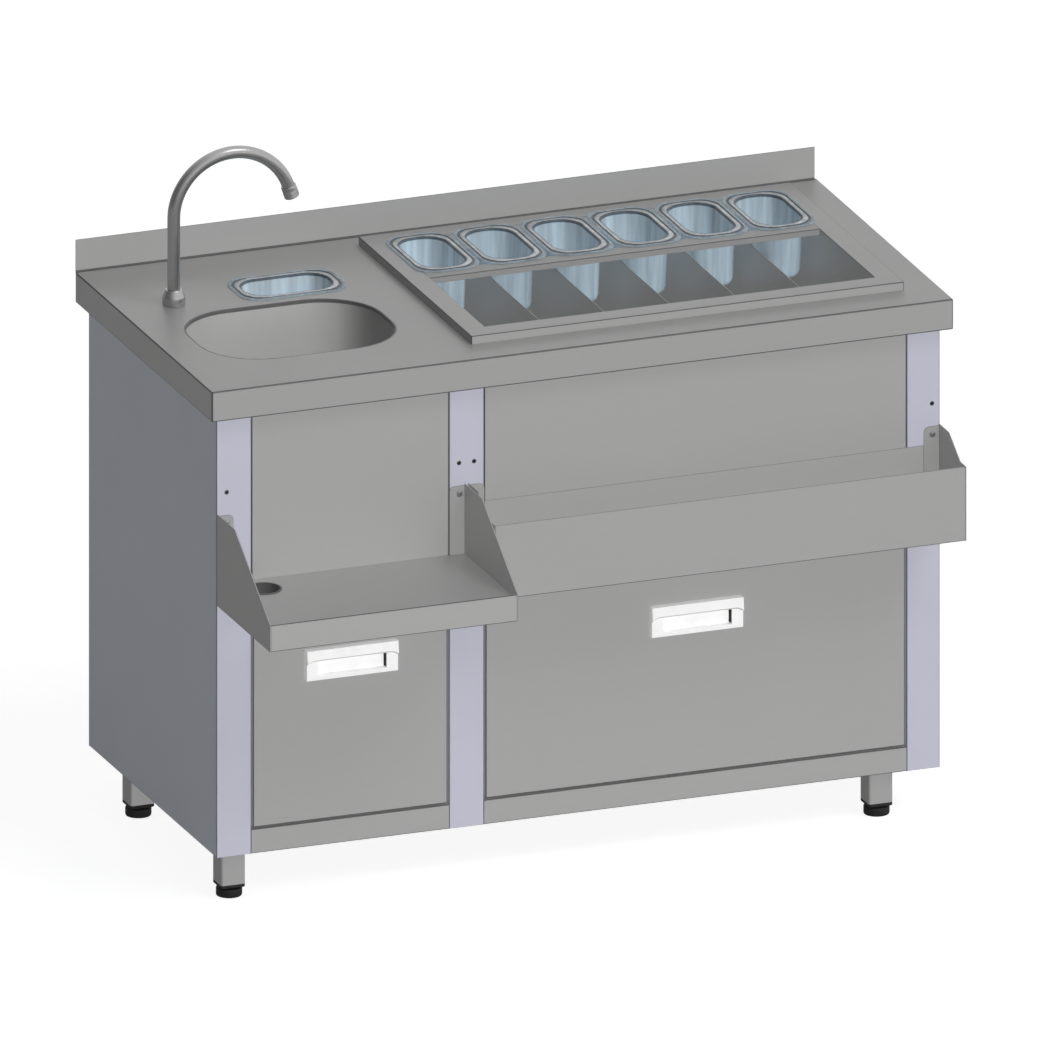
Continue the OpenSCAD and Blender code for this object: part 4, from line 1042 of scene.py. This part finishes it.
# %% [markdown]
# ## Feet and screws
# One foot and one screw are modelled, and a tree lays a copy of each on its points:
# under the four legs, and on the eight holes of the brackets. The screws have a
# button head with a six-sided socket.

# %% Feet
LEG_HALF, LEG_CORNER, CORNER_FOLLOWS = 20, 4, 0.9
feet_low = box_mm("feet")[0]
PAD = LEG_HALF + (box_mm("leg_front_left")[0].x - feet_low.x)
pad_section = [(PAD - 2.6, 0), (PAD - 0.8, 0.5), (PAD, 2), (PAD, 12), (PAD - 0.5, 13.4),
               (PAD - 2.4, 14.3), (13, 14.8), (12.4, 15.4), (12.4, 17.2)]
plug_section = [(19.4, 17), (20, 17.6), (20, 21.4), (19.6, 22), (18.3, 22), (18.3, 39),
                (17.5, 40)]
foot = pattern_piece(
    "one_foot", [circle(HOME, radius, z) for radius, z in pad_section],
    [rounded_ring(HOME, half, half, LEG_CORNER - (LEG_HALF - half) * CORNER_FOLLOWS, z)
     for half, z in plug_section])
leg_places = []
for leg in ("leg_front_left", "leg_front_right", "leg_back_left", "leg_back_right"):
    leg_low, leg_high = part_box(leg)
    leg_places.append(((leg_low.x + leg_high.x) / 2, (leg_low.y + leg_high.y) / 2, 0))
feet_mesh = on_points.mesh("feet_moulded", leg_places, Piece=foot, Finish=black_plastic)
bpy.data.objects.remove(foot)
finish_piece("feet_moulded", feet_mesh, black_plastic, "station", "feet", crease=35)


# %% Screws
def hexagon(centre, radius, z, count=48):
    """A six-sided ring with as many points as a circle."""
    points = []
    for i in range(count):
        turn = 2 * math.pi * i / count
        reach = radius * math.cos(math.pi / 6) / math.cos(turn % (math.pi / 3) - math.pi / 6)
        points.append(at(centre.x + reach * math.cos(turn), centre.y + reach * math.sin(turn), z))
    return points


SCREW_Z, FLANGE_FRONT = (625, 508), 18
SOCKET = ((1.9, 2.7), (1.8, 1.1))
screw_section = [(2.6, -15), (2.9, -14.4), (2.9, 0), (4.9, 0), (5, 0.5), (4.6, 1.5), (3.7, 2.3),
                 (2.6, 2.7), (2.1, 2.75)]
screw = pattern_piece("one_screw", [circle(HOME, radius, z) for radius, z in screw_section]
                      + [hexagon(HOME, radius, z) for radius, z in SOCKET])
screw.data.transform(Matrix.Rotation(math.pi / 2, 4, "X"))
screw_mesh = on_points.mesh(
    "bracket_screws_turned", [at(x, FLANGE_FRONT, z) for x in HOLE_X for z in SCREW_Z],
    Piece=screw, Finish=zinc)
bpy.data.objects.remove(screw)
finish_piece("bracket_screws_turned", screw_mesh, zinc, "station", "bracket_screws", crease=35)
print("feet:", len(leg_places), "screws:", len(HOLE_X) * len(SCREW_Z))

# %% [markdown]
# ## Light and floor
# The picture is evenly lit, with the left faces in shade and hardly a shadow. So
# most suns cast none, and light each face by its direction alone, also inside the
# well and the sink. Only the key sun casts a soft shadow on the floor. A weak sun
# from the same side is seen only as a gloss. The world fills the rest: the camera
# sees white, and reflections see a room that is darker on the left.

# %% World
scene = bpy.context.scene
scene.view_settings.view_transform = "Standard"
world = bpy.data.worlds.new("studio")
scene.world = world
world.use_nodes = True
world.node_tree.nodes.clear()
FILL, WHITE = 0.12, 1
ROOM_FROM, ROOM_TO, LEFT_DARK, RIGHT_BRIGHT = -0.8, 0.0, 0.2, 1.0
air = Graph(world.node_tree)
seen, through, mirror = (air.node("LightPath", output=f"Is {kind} Ray")
                         for kind in ("Camera", "Transmission", "Glossy"))
fill = air.node("Background", {"Strength": FILL})
white = air.node("Background", {"Strength": WHITE})
direct = air.node("MixShader", {"Fac": seen.at_least(through), 1: fill, 2: white})
side = air.node("SeparateXYZ", {0: air.node("TexCoord", output="Generated")})
fade = air.node("MapRange", {0: side, 1: ROOM_FROM, 2: ROOM_TO, 3: LEFT_DARK, 4: RIGHT_BRIGHT})
room = air.node("Background", {"Strength": fade})
air.join(air.node("MixShader", {"Fac": mirror, 1: direct, 2: room}),
         air.tree.nodes.new("ShaderNodeOutputWorld").inputs["Surface"])

# %% Suns
SUN_WIDTH = math.radians(25)
KEY_SIDE = Vector((0.35, -0.50, 0.79))


def sun(name, direction, energy, shadow=False, gloss=False):
    """A sun that shines from a direction, as light on matt surfaces or as a gloss."""
    lamp = bpy.data.objects.new(name, bpy.data.lights.new(name, "SUN"))
    lamp.data.energy, lamp.data.angle = energy, SUN_WIDTH
    lamp.data.use_shadow = shadow
    lamp.visible_glossy, lamp.visible_diffuse = gloss, not gloss
    lamp.rotation_euler = direction.to_track_quat("Z", "Y").to_euler()
    scene.collection.objects.link(lamp)


sun("key", KEY_SIDE, 0.62, shadow=True)
sun("shine", KEY_SIDE, 0.3, shadow=True, gloss=True)
sun("front", Vector((0.41, -0.90, 0.15)), 2.45)
sun("left", Vector((-0.92, -0.25, 0.30)), 0.60)
sun("back", Vector((0.35, 0.85, 0.39)), 1.0)
print("suns:", len(bpy.data.lights))

# %% [markdown]
# The floor glows for the camera, so that it meets the white background without an
# edge, and still shows the soft shadow. Other rays see a plain grey floor.

# %% Floor
FLOOR = 12
FLOOR_GREY, FLOOR_GLOW, FLOOR_ROUGH = 0.5, 0.74, 0.9
floor_mesh = bpy.data.meshes.new("floor")
floor_mesh.from_pydata([(-FLOOR, -FLOOR, 0), (FLOOR, -FLOOR, 0), (FLOOR, FLOOR, 0),
                        (-FLOOR, FLOOR, 0)], [], [(0, 1, 2, 3)])
floor = link("floor", floor_mesh)
pale = Shader("pale_floor")
pale.set(Base_Color=(FLOOR_GREY, FLOOR_GREY, FLOOR_GREY, 1), Roughness=FLOOR_ROUGH)
plain = Value(pale, pale.surface.outputs[0])
both = pale.node("AddShader", {0: plain, 1: pale.node("Emission", {"Strength": FLOOR_GLOW})})
pick = pale.node("MixShader", {"Fac": pale.node("LightPath"), 1: plain, 2: both})
pale.join(pick, pale.tree.nodes["Material Output"].inputs["Surface"])
floor_mesh.materials.append(pale.material)
print("floor:", 2 * FLOOR, "m wide")
